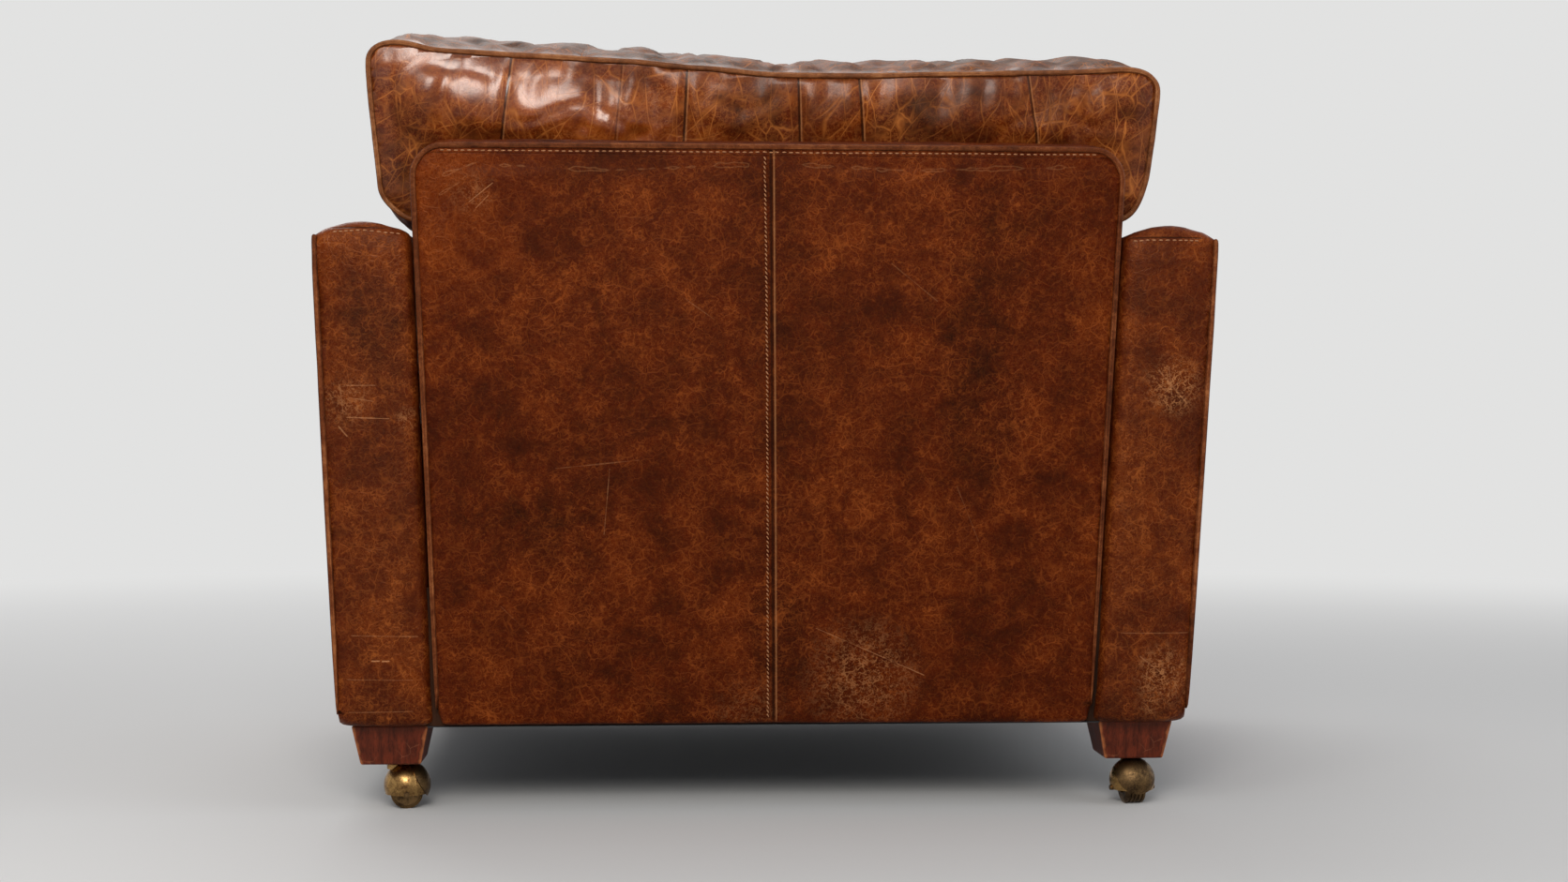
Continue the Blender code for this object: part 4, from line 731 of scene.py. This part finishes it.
x, y, z = places.T
away = from_welts(back)
seam_x = 0.0002 + (z - 0.72) * SEAM_LEAN
from_seam = np.abs(x - seam_x)
rear = eased(0.5, 0.8, normals[:, 1])
swell = 0.0014 * cloudy(places, 0.19, 4) + 0.0005 * cloudy(places, 0.045, 6)
seam = rear * (-0.0022 * bell(from_seam, 0.004) + 0.0008 * bell(from_seam - 0.010, 0.006))
crease_line = 0.703 + 0.004 * cloudy(places * np.array((1.0, 0.0, 0.0)), 0.09, 11)
crease = -0.0026 * rear * bell(z - crease_line, 0.006)
crease = crease * eased(-0.5, 0.3, cloudy(places, 0.12, 14))
corner = eased(0.20, 0.36, x) * eased(0.50, 0.68, z)
tilted = np.stack((x + 0.6 * z, y, 0.35 * (z - 0.6 * x)), axis=1)
rumple = 0.0017 * corner * cloudy(tilted, 0.020, 17)
rumple = rumple + 0.0006 * eased(0.62, 0.70, z) * cloudy(tilted, 0.014, 19)
pucker = 0.0009 * cloudy(places * np.array((0.5, 1.0, 1.0)), 0.015, 9) * np.exp(-away / 0.022)
press(back, (swell + crease + rumple) * eased(0.0, 0.025, away) + seam + pucker * eased(0.001, 0.01, away))
sewn_to(back, "outside_back_welt")
# Lighter and glossier along the top band and beside the welt; on the rumpled upper left corner the lightening
# is a painted highlight.
note(back, "wear_and_highlight", 0.30 * eased(0.715, 0.735, z) + 0.75 * corner + 0.22 * bell(away - 0.012, 0.007))
blotches = 0.30 * eased(0.2, 0.8, cloudy(places, 0.11, 23))
# Painted shade in the groove beside the welt, random dirt, and darker beside the middle seam.
note(back, "grime_and_shade", 0.8 * np.exp(-away / 0.004) + blotches + 0.25 * np.exp(-from_seam / 0.03))
note(back, "rear", rear)
dressed(back, "outside_back_cover", back_hide)


# Front panel and inside back: leather pulled over the front rail, and the padded panel that the loose
# cushion leans on, which only shows in the gaps beside it.

plain_hide = hide("plain_hide", BODY_TONES, ((0.40, 0.105, 0.020), 54.0, 0.72), (0.30, 0.50))
for node, name, voxel in (
    ("front_panel", "front_leather", 0.005), ("inside_back_pad", "inside_back_leather", 0.009),
):
    panel = cover_over(node, name, voxel)
    places, normals = points_of(panel)
    away = from_welts(panel)
    swell = 0.0010 * cloudy(places, 0.15, 4) + 0.0005 * cloudy(places, 0.04, 6) - 0.0006
    press(panel, swell * eased(0.0, 0.02, away))
    note(panel, "wear_and_highlight", 0.35 * eased(0.0, 0.5, cloudy(places, 0.10, 5)))
    # Painted shade in the groove beside the welts.
    note(panel, "grime_and_shade", 0.7 * np.exp(-away / 0.005))
    note(panel, "rear", np.zeros(len(places)))
    dressed(panel, node, plain_hide)


# Seat cushion: a loose box cushion of the same hide over a down-wrapped core. Its top has sunk where people
# sit and is polished there, and the leather draws into small puckers along the welts.

def grown(values, edges, rounds):
    """Averages values over each point's neighbours, several times over."""
    count = np.bincount(edges.ravel(), minlength=len(values)).astype(float)
    for _ in range(rounds):
        total = np.bincount(edges[:, 0], weights=values[edges[:, 1]], minlength=len(values))
        total += np.bincount(edges[:, 1], weights=values[edges[:, 0]], minlength=len(values))
        values = 0.5 * values + 0.5 * total / np.maximum(count, 1.0)
    return values


CLOTH_SLACK = 0.05
CLOTH_FRAMES = 20


def billowed(piece, held, slack, fold_limit, fill_limit):
    """Fills a cushion's cover as slack cloth held at its seams, keeps the folds that it forms and only a
    little of its swelling, and adds one subdivision. The limits are in metres."""
    before, normals = points_of(piece)
    group = piece.vertex_groups.new(name="held")
    for number, weight in enumerate(held):
        if weight > 0.01:
            group.add([number], float(weight), "REPLACE")
    cloth = piece.modifiers.new("filling", "CLOTH")
    cloth.settings.use_pressure = True
    cloth.settings.uniform_pressure_force = 4.0
    cloth.settings.quality = 5
    cloth.settings.mass = 0.4
    cloth.settings.bending_stiffness = 0.4
    cloth.settings.shrink_min = -slack
    cloth.settings.vertex_group_mass = "held"
    cloth.settings.effector_weights.gravity = 0.0
    cloth.collision_settings.use_collision = False
    cloth.point_cache.frame_start, cloth.point_cache.frame_end = 1, CLOTH_FRAMES
    for frame_number in range(1, CLOTH_FRAMES + 1):
        bpy.context.scene.frame_set(frame_number)
    picked(piece)
    bpy.ops.object.modifier_apply(modifier=cloth.name)
    bpy.context.scene.frame_set(1)
    after, _ = points_of(piece)
    edges = np.empty(len(piece.data.edges) * 2, dtype=np.int64)
    piece.data.edges.foreach_get("vertices", edges)
    edges = edges.reshape(-1, 2)
    out = np.sum((after - before) * normals, axis=1)
    level = grown(out, edges, 40)
    fold = fold_limit * np.tanh((out - level) / fold_limit)
    fill = fill_limit * np.tanh(level / (3.0 * fill_limit))
    free = 1.0 - np.clip(grown(held.astype(float), edges, 3), 0.0, 1.0)
    settled = before + normals * ((fold + fill) * free)[:, None]
    piece.data.vertices.foreach_set("co", settled.ravel())
    piece.data.update()
    piece.vertex_groups.clear()
    finer = piece.modifiers.new("finer", "SUBSURF")
    finer.levels = finer.render_levels = 1
    picked(piece)
    bpy.ops.object.modifier_apply(modifier=finer.name)
    bpy.ops.object.shade_smooth()


CUSHION_TONES = ((0.014, 0.0017, 0.0005), (0.092, 0.0115, 0.0012), (0.275, 0.0520, 0.0042))
seat_hide = hide(
    "seat_hide", CUSHION_TONES, ((0.46, 0.150, 0.026), 24.0, 0.80), (0.22, 0.46), size=0.11, bend=0.35,
    leans=(0.2, -0.5), hairs=0.45, fine_scale=110.0, shine=0.24,
)
seat = cover_over("seat_cushion", "seat_leather", 0.0100)
places, normals = points_of(seat)
held = np.maximum(eased(0.016, 0.007, from_welts(seat)), eased(-0.6, -0.8, normals[:, 2]))
billowed(seat, held, CLOTH_SLACK, 0.0045, 0.002)
places, normals = points_of(seat)
x, y, z = places.T
away = from_welts(seat)
upper = eased(0.35, 0.8, normals[:, 2])
sunk = np.exp(-((x / 0.20) ** 2) - (((y + 0.12) / 0.19) ** 2))
pucker = 0.0016 * cloudy(places, 0.014, 9) * np.exp(-away / 0.030)
wander = 0.02 * np.stack([cloudy(places, 0.09, k) for k in (31, 32, 33)], axis=1)
folds = 0.0022 * ridged(places + wander, 0.13, 41)
front_folds = 0.0016 * cloudy(places * np.array((1.0, 1.0, 0.45)), 0.030, 35) * (1.0 - upper)
swell = 0.0026 * cloudy(places, 0.16, 4) + 0.0009 * cloudy(places, 0.045, 6)
shape = swell + folds * upper + front_folds - 0.006 * sunk * upper
press(seat, shape * eased(0.0, 0.030, away) + pucker * eased(0.001, 0.010, away))
sewn_to(seat, "seat_cushion_welt_top", "seat_cushion_welt_bottom")
front_edge = 0.35 * eased(-0.38, -0.46, y)
note(seat, "wear_and_highlight", 0.75 * sunk * upper + front_edge + 0.25 * bell(away - 0.012, 0.007))
# Painted shade in the groove beside the welts, and random dirt.
note(seat, "grime_and_shade", 0.7 * np.exp(-away / 0.005) + 0.30 * eased(0.2, 0.8, cloudy(places, 0.10, 23)))
note(seat, "rear", np.zeros(len(places)))
dressed(seat, "seat_cushion", seat_hide)


# Back cushion: a loose T-shaped cushion of seven pieces of hide sewn side by side. It sags in the middle,
# its top band gathers along both welts and is darkened as painted shade, and its rear face is polished along
# a streak that is also lightened as a painted highlight.

CUSHION_SEAMS = tuple(
    (x_top, z_top, x_foot, z_top - 0.106, width, 0.0006, 0.0, strength)
    for x_top, x_foot, z_top, width, strength in (
        (0.279, 0.294, 0.829, 0.0017, 0.95),
        (0.159, 0.169, 0.824, 0.0010, 0.45),
        (0.088, 0.093, 0.818, 0.0019, 1.0),
        (-0.034, -0.038, 0.811, 0.0017, 0.95),
        (-0.101, -0.110, 0.811, 0.0017, 0.95),
        (-0.288, -0.306, 0.815, 0.0017, 0.9),
    )
)
# Painted highlights: a light line beside each seam.
CUSHION_HIGHLIGHT_EDGES = tuple(
    (x_top - 0.0021, z_top, x_foot - 0.0021, z_foot, 0.0013, waver, 0.6, 0.7 * power)
    for x_top, z_top, x_foot, z_foot, _, waver, _, power in CUSHION_SEAMS
)
cushion_hide = hide(
    "cushion_hide", CUSHION_TONES, ((0.52, 0.168, 0.032), 21.0, 0.90), (0.12, 0.50), size=0.10,
    seams=CUSHION_SEAMS, edges=CUSHION_HIGHLIGHT_EDGES, drawn=(1.0, 1.0, 0.36), leans=(0.22, -0.34, 0.04, -0.9),
    bend=0.34, hairs=0.40, fine_scale=110.0, shine=0.26, polish=1.0,
)
cushion = cover_over("back_cushion", "back_cushion_leather", 0.0090)
places, normals = points_of(cushion)
x, y, z = places.T
leans_on = eased(0.3, 0.6, normals[:, 1]) * eased(0.735, 0.715, z)
held = np.maximum(eased(0.014, 0.006, from_welts(cushion)), leans_on)
billowed(cushion, held, CLOTH_SLACK, 0.0040, 0.002)
places, normals = points_of(cushion)
x, y, z = places.T
away = from_welts(cushion)
upper = eased(0.45, 0.85, normals[:, 2])
rear = eased(0.35, 0.7, normals[:, 1])
leaning = np.stack((x + 0.45 * y, y * 0.22, z * 0.4), axis=1)
gathers = 0.0024 * cloudy(leaning, 0.0125, 51) * upper
upright = np.stack((x + 0.15 * z, y * 0.3, z * 0.25), axis=1)
puckers = 0.0022 * cloudy(upright, 0.0135, 53) * (1.0 - upper) * np.exp(-away / 0.028)
side = eased(0.36, 0.42, np.abs(x))
across = np.stack((x * 0.25, y * 0.3, z), axis=1)
side_puckers = 0.0024 * cloudy(across, 0.0130, 57) * side * np.exp(-away / 0.035)
wander = 0.02 * np.stack([cloudy(places, 0.07, k) for k in (61, 62, 63)], axis=1)
folds = 0.0018 * ridged(places + wander, 0.085, 65)
streak_start, streak_run = np.array((0.44, 0.845)), np.array((-0.39, -0.135))
from_start = places[:, (0, 2)] - streak_start
share = np.clip(from_start @ streak_run / (streak_run @ streak_run), 0.0, 1.0)
below_streak = np.linalg.norm(from_start + np.array((0.0, 0.024)) - share[:, None] * streak_run, axis=1)
crown = rear * (0.0050 * bell(below_streak, 0.032) + 0.0025 * bell(z - 0.775, 0.03))
pinch = np.zeros(len(places))
for x_top, z_top, x_foot, z_foot, width, _, _, power in CUSHION_SEAMS:
    seam_x = x_top + (x_foot - x_top) * (z_top - z) / (z_top - z_foot)
    beside = np.abs(x - seam_x)
    pinch += rear * power * (0.0011 * bell(beside - 0.009, 0.006) - 0.0022 * bell(beside, 0.0045))
swell = 0.0024 * cloudy(places, 0.12, 4) + 0.0010 * cloudy(places, 0.035, 6)
press(
    cushion,
    (swell + folds + pinch + crown) * eased(0.0, 0.028, away)
    + (gathers + puckers * (1.0 - side) + side_puckers) * eased(0.0005, 0.009, away)
    + 0.0026 * side * np.exp(-away / 0.014),
)
sewn_to(cushion, "back_cushion_welt_rear", "back_cushion_welt_front")
# Painted highlight: the streak is lightened as well as polished and waxed.
highlight_streak = rear * bell(np.linalg.norm(from_start - share[:, None] * streak_run, axis=1), 0.034)
dabs = 0.12 * rear * eased(-0.1, 0.6, cloudy(places, 0.14, 5))
note(cushion, "wear_and_highlight", dabs + 0.95 * highlight_streak + 0.3 * bell(away - 0.012, 0.007))
# Painted shade beside the welts and on the upward-facing top band; darker towards the sides; random dirt away
# from the streak.
note(
    cushion, "grime_and_shade",
    0.75 * np.exp(-away / 0.005) + 0.45 * side * (0.5 + 0.5 * cloudy(places, 0.06, 23)) + 0.75 * upper
    + 0.35 * eased(0.1, 0.7, cloudy(places, 0.075, 27)) * (1.0 - highlight_streak),
)
note(cushion, "rear", rear)
dressed(cushion, "back_cushion", cushion_hide)


# Topstitching: waxed linen thread that shows beside the back's middle seam, along its top band and across
# the arms' tops, as short raised stitches.

THREAD_SHADE, THREAD_LIGHT = (0.20, 0.070, 0.022, 1.0), (0.50, 0.23, 0.095, 1.0)
thread, tree, shader = painted("linen_thread")
fibre = noise(tree, add(tree, "TexCoord").outputs["Object"], 900.0, 3.0)
tree.links.new(blend_colour(tree, fibre, THREAD_SHADE, THREAD_LIGHT), shader.inputs["Base Color"])
tree.links.new(spread(tree, fibre, 0.2, 0.8, 0.5, 0.75), shader.inputs["Roughness"])
raised(tree, shader, 0.4, 0.0002, fibre)

bpy.ops.object.select_all(action="DESELECT")
bpy.ops.mesh.primitive_uv_sphere_add(segments=6, ring_count=4, radius=0.00080)
stitch = bpy.context.object
stitch.name = "one_stitch"
bpy.ops.object.mode_set(mode="EDIT")
bpy.ops.mesh.select_all(action="SELECT")
bpy.ops.transform.resize(value=(1.0, 1.0, 3.0))
bpy.ops.object.mode_set(mode="OBJECT")


def stitched(name, ground, path, pitch, slant=0.0):
    """Copies one stitch along a path, laid on the leather below it."""
    surface = ground.evaluated_get(bpy.context.evaluated_depsgraph_get())
    made = []
    run = [Vector(point) for point in path]
    for start, end in zip(run, run[1:]):
        steps = max(1, round((end - start).length / pitch))
        for step in range(steps):
            middle = start.lerp(end, (step + 0.5) / steps)
            hit, place, normal, _ = surface.closest_point_on_mesh(middle)
            lie = (end - start).normalized()
            lie = (lie - normal * lie.dot(normal)).normalized()
            copy = stitch.data.copy()
            lie = Matrix.Rotation(slant, 3, normal) @ lie
            turn = lie.to_track_quat("Z", "Y").to_matrix().to_4x4()
            copy.transform(Matrix.Translation(place + normal * 0.00018) @ turn)
            made.append(copy)
    mesh = bpy.data.meshes.new(name)
    verts, faces, start = [], [], 0
    for copy in made:
        verts += [tuple(vertex.co) for vertex in copy.vertices]
        faces += [[index + start for index in polygon.vertices] for polygon in copy.polygons]
        start += len(copy.vertices)
    mesh.from_pydata(verts, [], faces)
    mesh.shade_smooth()
    mesh.materials.append(thread)
    row = linked(name, mesh)
    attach(row, "root")


def rear_plane(z):
    return 0.3872 + math.tan(math.radians(8.0)) * (z - 0.0968)


seam_path = [
    (0.0055 + (z - 0.72) * SEAM_LEAN, rear_plane(z) + 0.004, z) for z in np.linspace(0.104, 0.712, 8)
]
stitched("back_seam_stitches", back, seam_path, 0.0050, 0.55)
stitched("back_top_stitches", back, [(x, 0.470, 0.7165) for x in np.linspace(0.350, -0.350, 12)], 0.0070)
for side, sign, height in (("left", 1.0, 0.6325), ("right", -1.0, 0.6262)):
    arm = bpy.data.objects[f"arm_leather_{side}"]
    path = [(sign * x, 0.463, height) for x in (0.390, 0.410, 0.440, 0.464)]
    stitched(f"arm_end_stitches_{side}", arm, path, 0.0068)
bpy.data.objects.remove(stitch, do_unlink=True)


# Legs: short tapered blocks of reddish mahogany with rubbed corners, screwed up under the seat frame.

leg_wear, given, result = effect(
    "leg_wear", [("Vector", "Vector", None), ("Half Width", "Float", 0.038)], ["Edge"],
)
axes = add(leg_wear, "SeparateXYZ", {0: given["Vector"]})
above = minus(leg_wear, axes.outputs["Z"], 0.0745)
half_here = plus(leg_wear, given["Half Width"], times(leg_wear, above, 0.2045))
least = fewest(leg_wear, unsigned(leg_wear, axes.outputs["X"]), unsigned(leg_wear, axes.outputs["Y"]))
ragged = noise(leg_wear, given["Vector"], 130.0, 3.0)
edge = plus(leg_wear, minus(leg_wear, least, half_here), times(leg_wear, minus(leg_wear, ragged, 0.5), 0.006))
leg_wear.links.new(spread(leg_wear, edge, -0.0045, -0.0010), result["Edge"])

MAHOGANY_SHADE, MAHOGANY_LIGHT = (0.036, 0.0050, 0.0022, 1.0), (0.150, 0.0230, 0.0075, 1.0)
STEM_X, REAR_STEM_Y, FRONT_STEM_Y = 0.414, 0.3292, -0.3968
CORNERS = (
    ("rear_left", STEM_X, REAR_STEM_Y), ("rear_right", -STEM_X, REAR_STEM_Y),
    ("front_left", STEM_X, FRONT_STEM_Y), ("front_right", -STEM_X, FRONT_STEM_Y),
)
for corner, x, y in CORNERS:
    wood, tree, shader = painted(f"mahogany_{corner}")
    place = add(tree, "TexCoord").outputs["Object"]
    centred_place = add(tree, "Mapping", {"Vector": place, "Location": (-x, -y, 0.0)}).outputs[0]
    drawn = add(tree, "Mapping", {"Vector": centred_place, "Scale": (1.0, 1.0, 0.10)}).outputs[0]
    figure = noise(tree, drawn, 150.0, 5.0, Roughness=0.65, Distortion=0.6)
    veins = noise(tree, drawn, 700.0, 3.0)
    tone = blend_colour(tree, spread(tree, figure, 0.33, 0.68), MAHOGANY_SHADE, MAHOGANY_LIGHT)
    tone = blend_colour(tree, spread(tree, veins, 0.52, 0.70, 0.0, 0.6), tone, (0.026, 0.006, 0.003, 1.0))
    worn = placed(tree, leg_wear, {"Vector": centred_place})["Edge"]
    tone = blend_colour(tree, times(tree, worn, 0.8), tone, (0.42, 0.135, 0.045, 1.0))
    inputs = {"Vector": centred_place, "Scale": 55.0, "Width": 0.03, "Broken": 0.52}
    knocks = placed(tree, crazing, inputs)["Lines"]
    tone = blend_colour(tree, times(tree, knocks, 0.5), tone, (0.36, 0.13, 0.06, 1.0))
    tree.links.new(tone, shader.inputs["Base Color"])
    tree.links.new(spread(tree, figure, 0.3, 0.7, 0.30, 0.46), shader.inputs["Roughness"])
    shader.inputs["Specular IOR Level"].default_value = 0.28
    shader.inputs["Specular Tint"].default_value = (1.0, 0.75, 0.60, 1.0)
    relief = minus(tree, veins, times(tree, knocks, 1.4))
    raised(tree, shader, 0.3, 0.0004, relief)
    leg = frame["nodes"][f"leg_{corner}"]
    leg.data.materials.clear()
    leg.data.materials.append(wood)


# Ball casters: a spun brass hood that turns on a stem in the leg, over a ridged wheel on a short axle. The
# brass has tarnished brown in its hollows and stays bright where it is rubbed.

def metal(name, bright, dull, rough, scale=70.0):
    material, tree, shader = painted(name)
    place = add(tree, "TexCoord").outputs["Object"]
    stain = noise(tree, place, scale, 6.0, Roughness=0.7)
    specks = minus(tree, noise(tree, place, scale * 9.0, 2.0), 0.5)
    tarnish = spread(tree, plus(tree, stain, times(tree, specks, 0.35)), 0.40, 0.66)
    tree.links.new(blend_colour(tree, tarnish, (*bright, 1.0), (*dull, 1.0)), shader.inputs["Base Color"])
    tree.links.new(spread(tree, tarnish, 0.0, 1.0, *rough), shader.inputs["Roughness"])
    shader.inputs["Metallic"].default_value = 1.0
    raised(tree, shader, 0.12, 0.0004, stain)
    return material


def turned(name, profile, steps):
    """Spins a profile of (radius, height) points about Z into a closed solid at the origin."""
    mesh = bpy.data.meshes.new(name)
    edges = [(number, number + 1) for number in range(len(profile) - 1)]
    mesh.from_pydata([(radius, 0.0, high) for radius, high in profile], edges, [])
    made = linked(name, mesh)
    picked(made)
    bpy.ops.object.mode_set(mode="EDIT")
    bpy.ops.mesh.select_all(action="SELECT")
    bpy.ops.mesh.spin(steps=steps, angle=math.tau, center=(0, 0, 0), axis=(0, 0, 1))
    bpy.ops.mesh.select_all(action="SELECT")
    bpy.ops.mesh.remove_doubles(threshold=0.00001)
    bpy.ops.mesh.normals_make_consistent(inside=False)
    bpy.ops.object.mode_set(mode="OBJECT")
    bpy.ops.object.shade_smooth_by_angle(angle=math.radians(35.0))
    return made


brass = metal("tarnished_brass", (0.43, 0.255, 0.090), (0.095, 0.046, 0.018), (0.22, 0.44))
dark_brass = metal("dark_brass", (0.17, 0.100, 0.042), (0.040, 0.024, 0.013), (0.34, 0.58))
BALL, WALL, RIM_Z, TRAIL, WHEEL_Z = 0.0255, 0.0022, 0.016, 0.014, 0.0178
BALL_Z = 0.0525 - 0.0003 - 0.0019 - BALL + 0.0009
hood_profile = []
rim_angle = math.asin((RIM_Z - BALL_Z) / BALL)
for step in range(21):
    angle = math.pi / 2 + (rim_angle - math.pi / 2) * step / 20
    hood_profile.append((max(BALL * math.cos(angle), 0.0), BALL_Z + BALL * math.sin(angle)))
hood_profile[-1] = (hood_profile[-1][0] + 0.0004, RIM_Z + 0.0016)
hood_profile += [(hood_profile[-1][0], RIM_Z), (hood_profile[-1][0] - WALL, RIM_Z)]
for step in range(11):
    angle = rim_angle + (math.pi / 2 - rim_angle) * (step + 1) / 11
    hood_profile.append((max((BALL - WALL) * math.cos(angle), 0.0), BALL_Z + (BALL - WALL) * math.sin(angle)))
hood = turned("ball_hood", hood_profile, 48)
collar_profile = [
    (0.0, 0.0435), (0.0080, 0.0435), (0.0080, 0.0484), (0.0118, 0.0490), (0.0135, 0.0500), (0.0135, 0.0518),
    (0.0130, 0.0522), (0.0048, 0.0522), (0.0048, 0.0812), (0.0038, 0.0822), (0.0, 0.0822),
]
collar = turned("stem_collar", collar_profile, 32)
cap_profile = []
for step in range(13):
    angle = math.pi / 2 - math.radians(58.0) * step / 12
    cap_profile.append(((BALL + 0.0009) * math.cos(angle), (BALL + 0.0009) * math.sin(angle)))
for step in range(13):
    angle = math.pi / 2 - math.radians(58.0) * (12 - step) / 12
    cap_profile.append(((BALL - 0.0004) * math.cos(angle), (BALL - 0.0004) * math.sin(angle)))
cap_profile[0] = (0.0, cap_profile[0][1])
cap_profile[-1] = (0.0, cap_profile[-1][1])
cheek = turned("swivel_cheek", cap_profile, 48)

WHEEL_HALF, HUB_END, BORE = 0.0120, 0.0152, 0.0033
tread = [
    (BORE, -HUB_END), (0.0062, -HUB_END), (0.0062, -WHEEL_HALF), (0.0138, -WHEEL_HALF),
    (0.0146, -WHEEL_HALF + 0.0006),
]
for ridge in range(5):
    centre = (ridge - 2) * 0.0044
    tread += [
        (0.0166, centre - 0.0019), (0.0178, centre - 0.0013),
        (0.0178, centre + 0.0013), (0.0166, centre + 0.0019),
    ]
tread += [
    (0.0146, WHEEL_HALF - 0.0006), (0.0138, WHEEL_HALF), (0.0062, WHEEL_HALF), (0.0062, HUB_END),
    (BORE, HUB_END), (BORE, -HUB_END),
]
wheel = turned("ridged_wheel", tread, 40)
AXLE_END = 0.0264
axle_profile = [
    (0.0, -AXLE_END), (0.0026, -AXLE_END), (0.0030, -0.0260),
    (0.0030, 0.0260), (0.0026, AXLE_END), (0.0, AXLE_END),
]
axle = turned("wheel_axle", axle_profile, 24)
LAY = Matrix.Rotation(math.pi / 2, 4, "X")
cheek.data.transform(Matrix.Translation((TRAIL, 0.0, BALL_Z)) @ Matrix.Rotation(math.radians(62.0), 4, "Y"))
hood.data.transform(Matrix.Translation((TRAIL, 0.0, 0.0)))
for piece in (wheel, axle):
    piece.data.transform(Matrix.Translation((TRAIL, 0.0, WHEEL_Z)) @ LAY)

for (corner, x, y), turn in zip(CORNERS, (186.0, 98.0, 64.0, 121.0)):
    set_down = Matrix.Translation((x, y, 0.0)) @ Matrix.Rotation(math.radians(turn), 4, "Z")
    for source, name, material, body, stood_for, finish in (
        (hood, "brass_hood", brass, f"swivel_{corner}", f"caster_hood_{corner}", "antique_brass"),
        (collar, "brass_collar", brass, f"swivel_{corner}", None, "antique_brass"),
        (cheek, "brass_cheek", dark_brass, f"swivel_{corner}", None, "antique_brass"),
        (axle, "brass_axle", dark_brass, f"swivel_{corner}", f"caster_axle_{corner}", "antique_brass"),
        (wheel, "brass_wheel", dark_brass, f"wheel_{corner}", f"caster_wheel_{corner}", "dark_tread"),
    ):
        copy = linked(f"{name}_{corner}", source.data.copy())
        copy.data.transform(set_down)
        copy.data.materials.clear()
        copy.data.materials.append(material)
        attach(copy, body)
        if stood_for:
            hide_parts(stood_for)
for source in (hood, collar, cheek, axle, wheel):
    bpy.data.objects.remove(source, do_unlink=True)


# Frame: kiln-dried beech posts, rails and corner blocks, planed and glued, and coloured very dark as painted
# shade, so that the gaps between the covers show as shadow. The leather hides nearly all of it.

beech, tree, shader = painted("beech_darkened_as_shade")
place = add(tree, "TexCoord").outputs["Object"]
long_grain = add(tree, "Mapping", {"Vector": place, "Scale": (1.0, 0.35, 0.12)}).outputs[0]
rings = noise(tree, long_grain, 60.0, 5.0, Distortion=0.8)
ticks = noise(tree, long_grain, 900.0, 2.0)
BEECH_SHADE, BEECH_LIGHT = (0.020, 0.0075, 0.0035, 1.0), (0.050, 0.0190, 0.0085, 1.0)
# Painted shade: the timber is coloured near black so that the gaps read as shadow.
shade_dark_beech = blend_colour(tree, spread(tree, rings, 0.35, 0.65), BEECH_SHADE, BEECH_LIGHT)
shade_dark_beech = blend_colour(tree, spread(tree, ticks, 0.58, 0.72, 0.0, 0.5), shade_dark_beech, (0.010, 0.004, 0.002, 1.0))
tree.links.new(shade_dark_beech, shader.inputs["Base Color"])
tree.links.new(spread(tree, rings, 0.3, 0.7, 0.65, 0.80), shader.inputs["Roughness"])
shader.inputs["Specular IOR Level"].default_value = 0.08
raised(tree, shader, 0.2, 0.0003, ticks)


# Suspension and cloths: sinuous springs and a padded deck under the seat, woven straps behind the back pad,
# and black cambric tacked underneath.

def woven(name, light, dark, pitch):
    """Plain cloth whose threads cross at a pitch, in metres."""
    material, tree, shader = painted(name)
    place = add(tree, "TexCoord").outputs["Object"]
    axes = add(tree, "SeparateXYZ", {0: place})
    crossing = plus(tree, axes.outputs["Y"], axes.outputs["Z"])
    warp_wave = sine(tree, times(tree, axes.outputs["X"], math.tau / pitch))
    weft_wave = sine(tree, times(tree, crossing, math.tau / pitch))
    weave = spread(tree, times(tree, warp_wave, weft_wave), -1.0, 1.0)
    slubs = noise(tree, place, 120.0, 4.0)
    shade = plus(tree, times(tree, weave, 0.6), times(tree, slubs, 0.4))
    tree.links.new(blend_colour(tree, shade, (*dark, 1.0), (*light, 1.0)), shader.inputs["Base Color"])
    tree.links.new(spread(tree, slubs, 0.2, 0.8, 0.82, 0.95), shader.inputs["Roughness"])
    raised(tree, shader, 0.5, pitch * 0.3, weave)
    return material


wire = metal("spring_wire", (0.42, 0.42, 0.43), (0.16, 0.13, 0.11), (0.30, 0.55), scale=120.0)
strap = woven("jute_strap", (0.46, 0.36, 0.22), (0.22, 0.16, 0.09), 0.0030)
deck = woven("deck_canvas", (0.150, 0.090, 0.050), (0.070, 0.040, 0.022), 0.0014)
cambric = woven("black_cambric", (0.032, 0.032, 0.034), (0.010, 0.010, 0.011), 0.0009)
finishes = {
    "frame_timber": beech, "spring_steel": wire, "webbing": strap,
    "deck_cloth": deck, "black_cambric": cambric,
}
for part in frame["record"]["subparts"]:
    if part["material_slot"] in finishes:
        plain = frame["nodes"][part["node"]]
        plain.data.materials.clear()
        plain.data.materials.append(finishes[part["material_slot"]])

import json
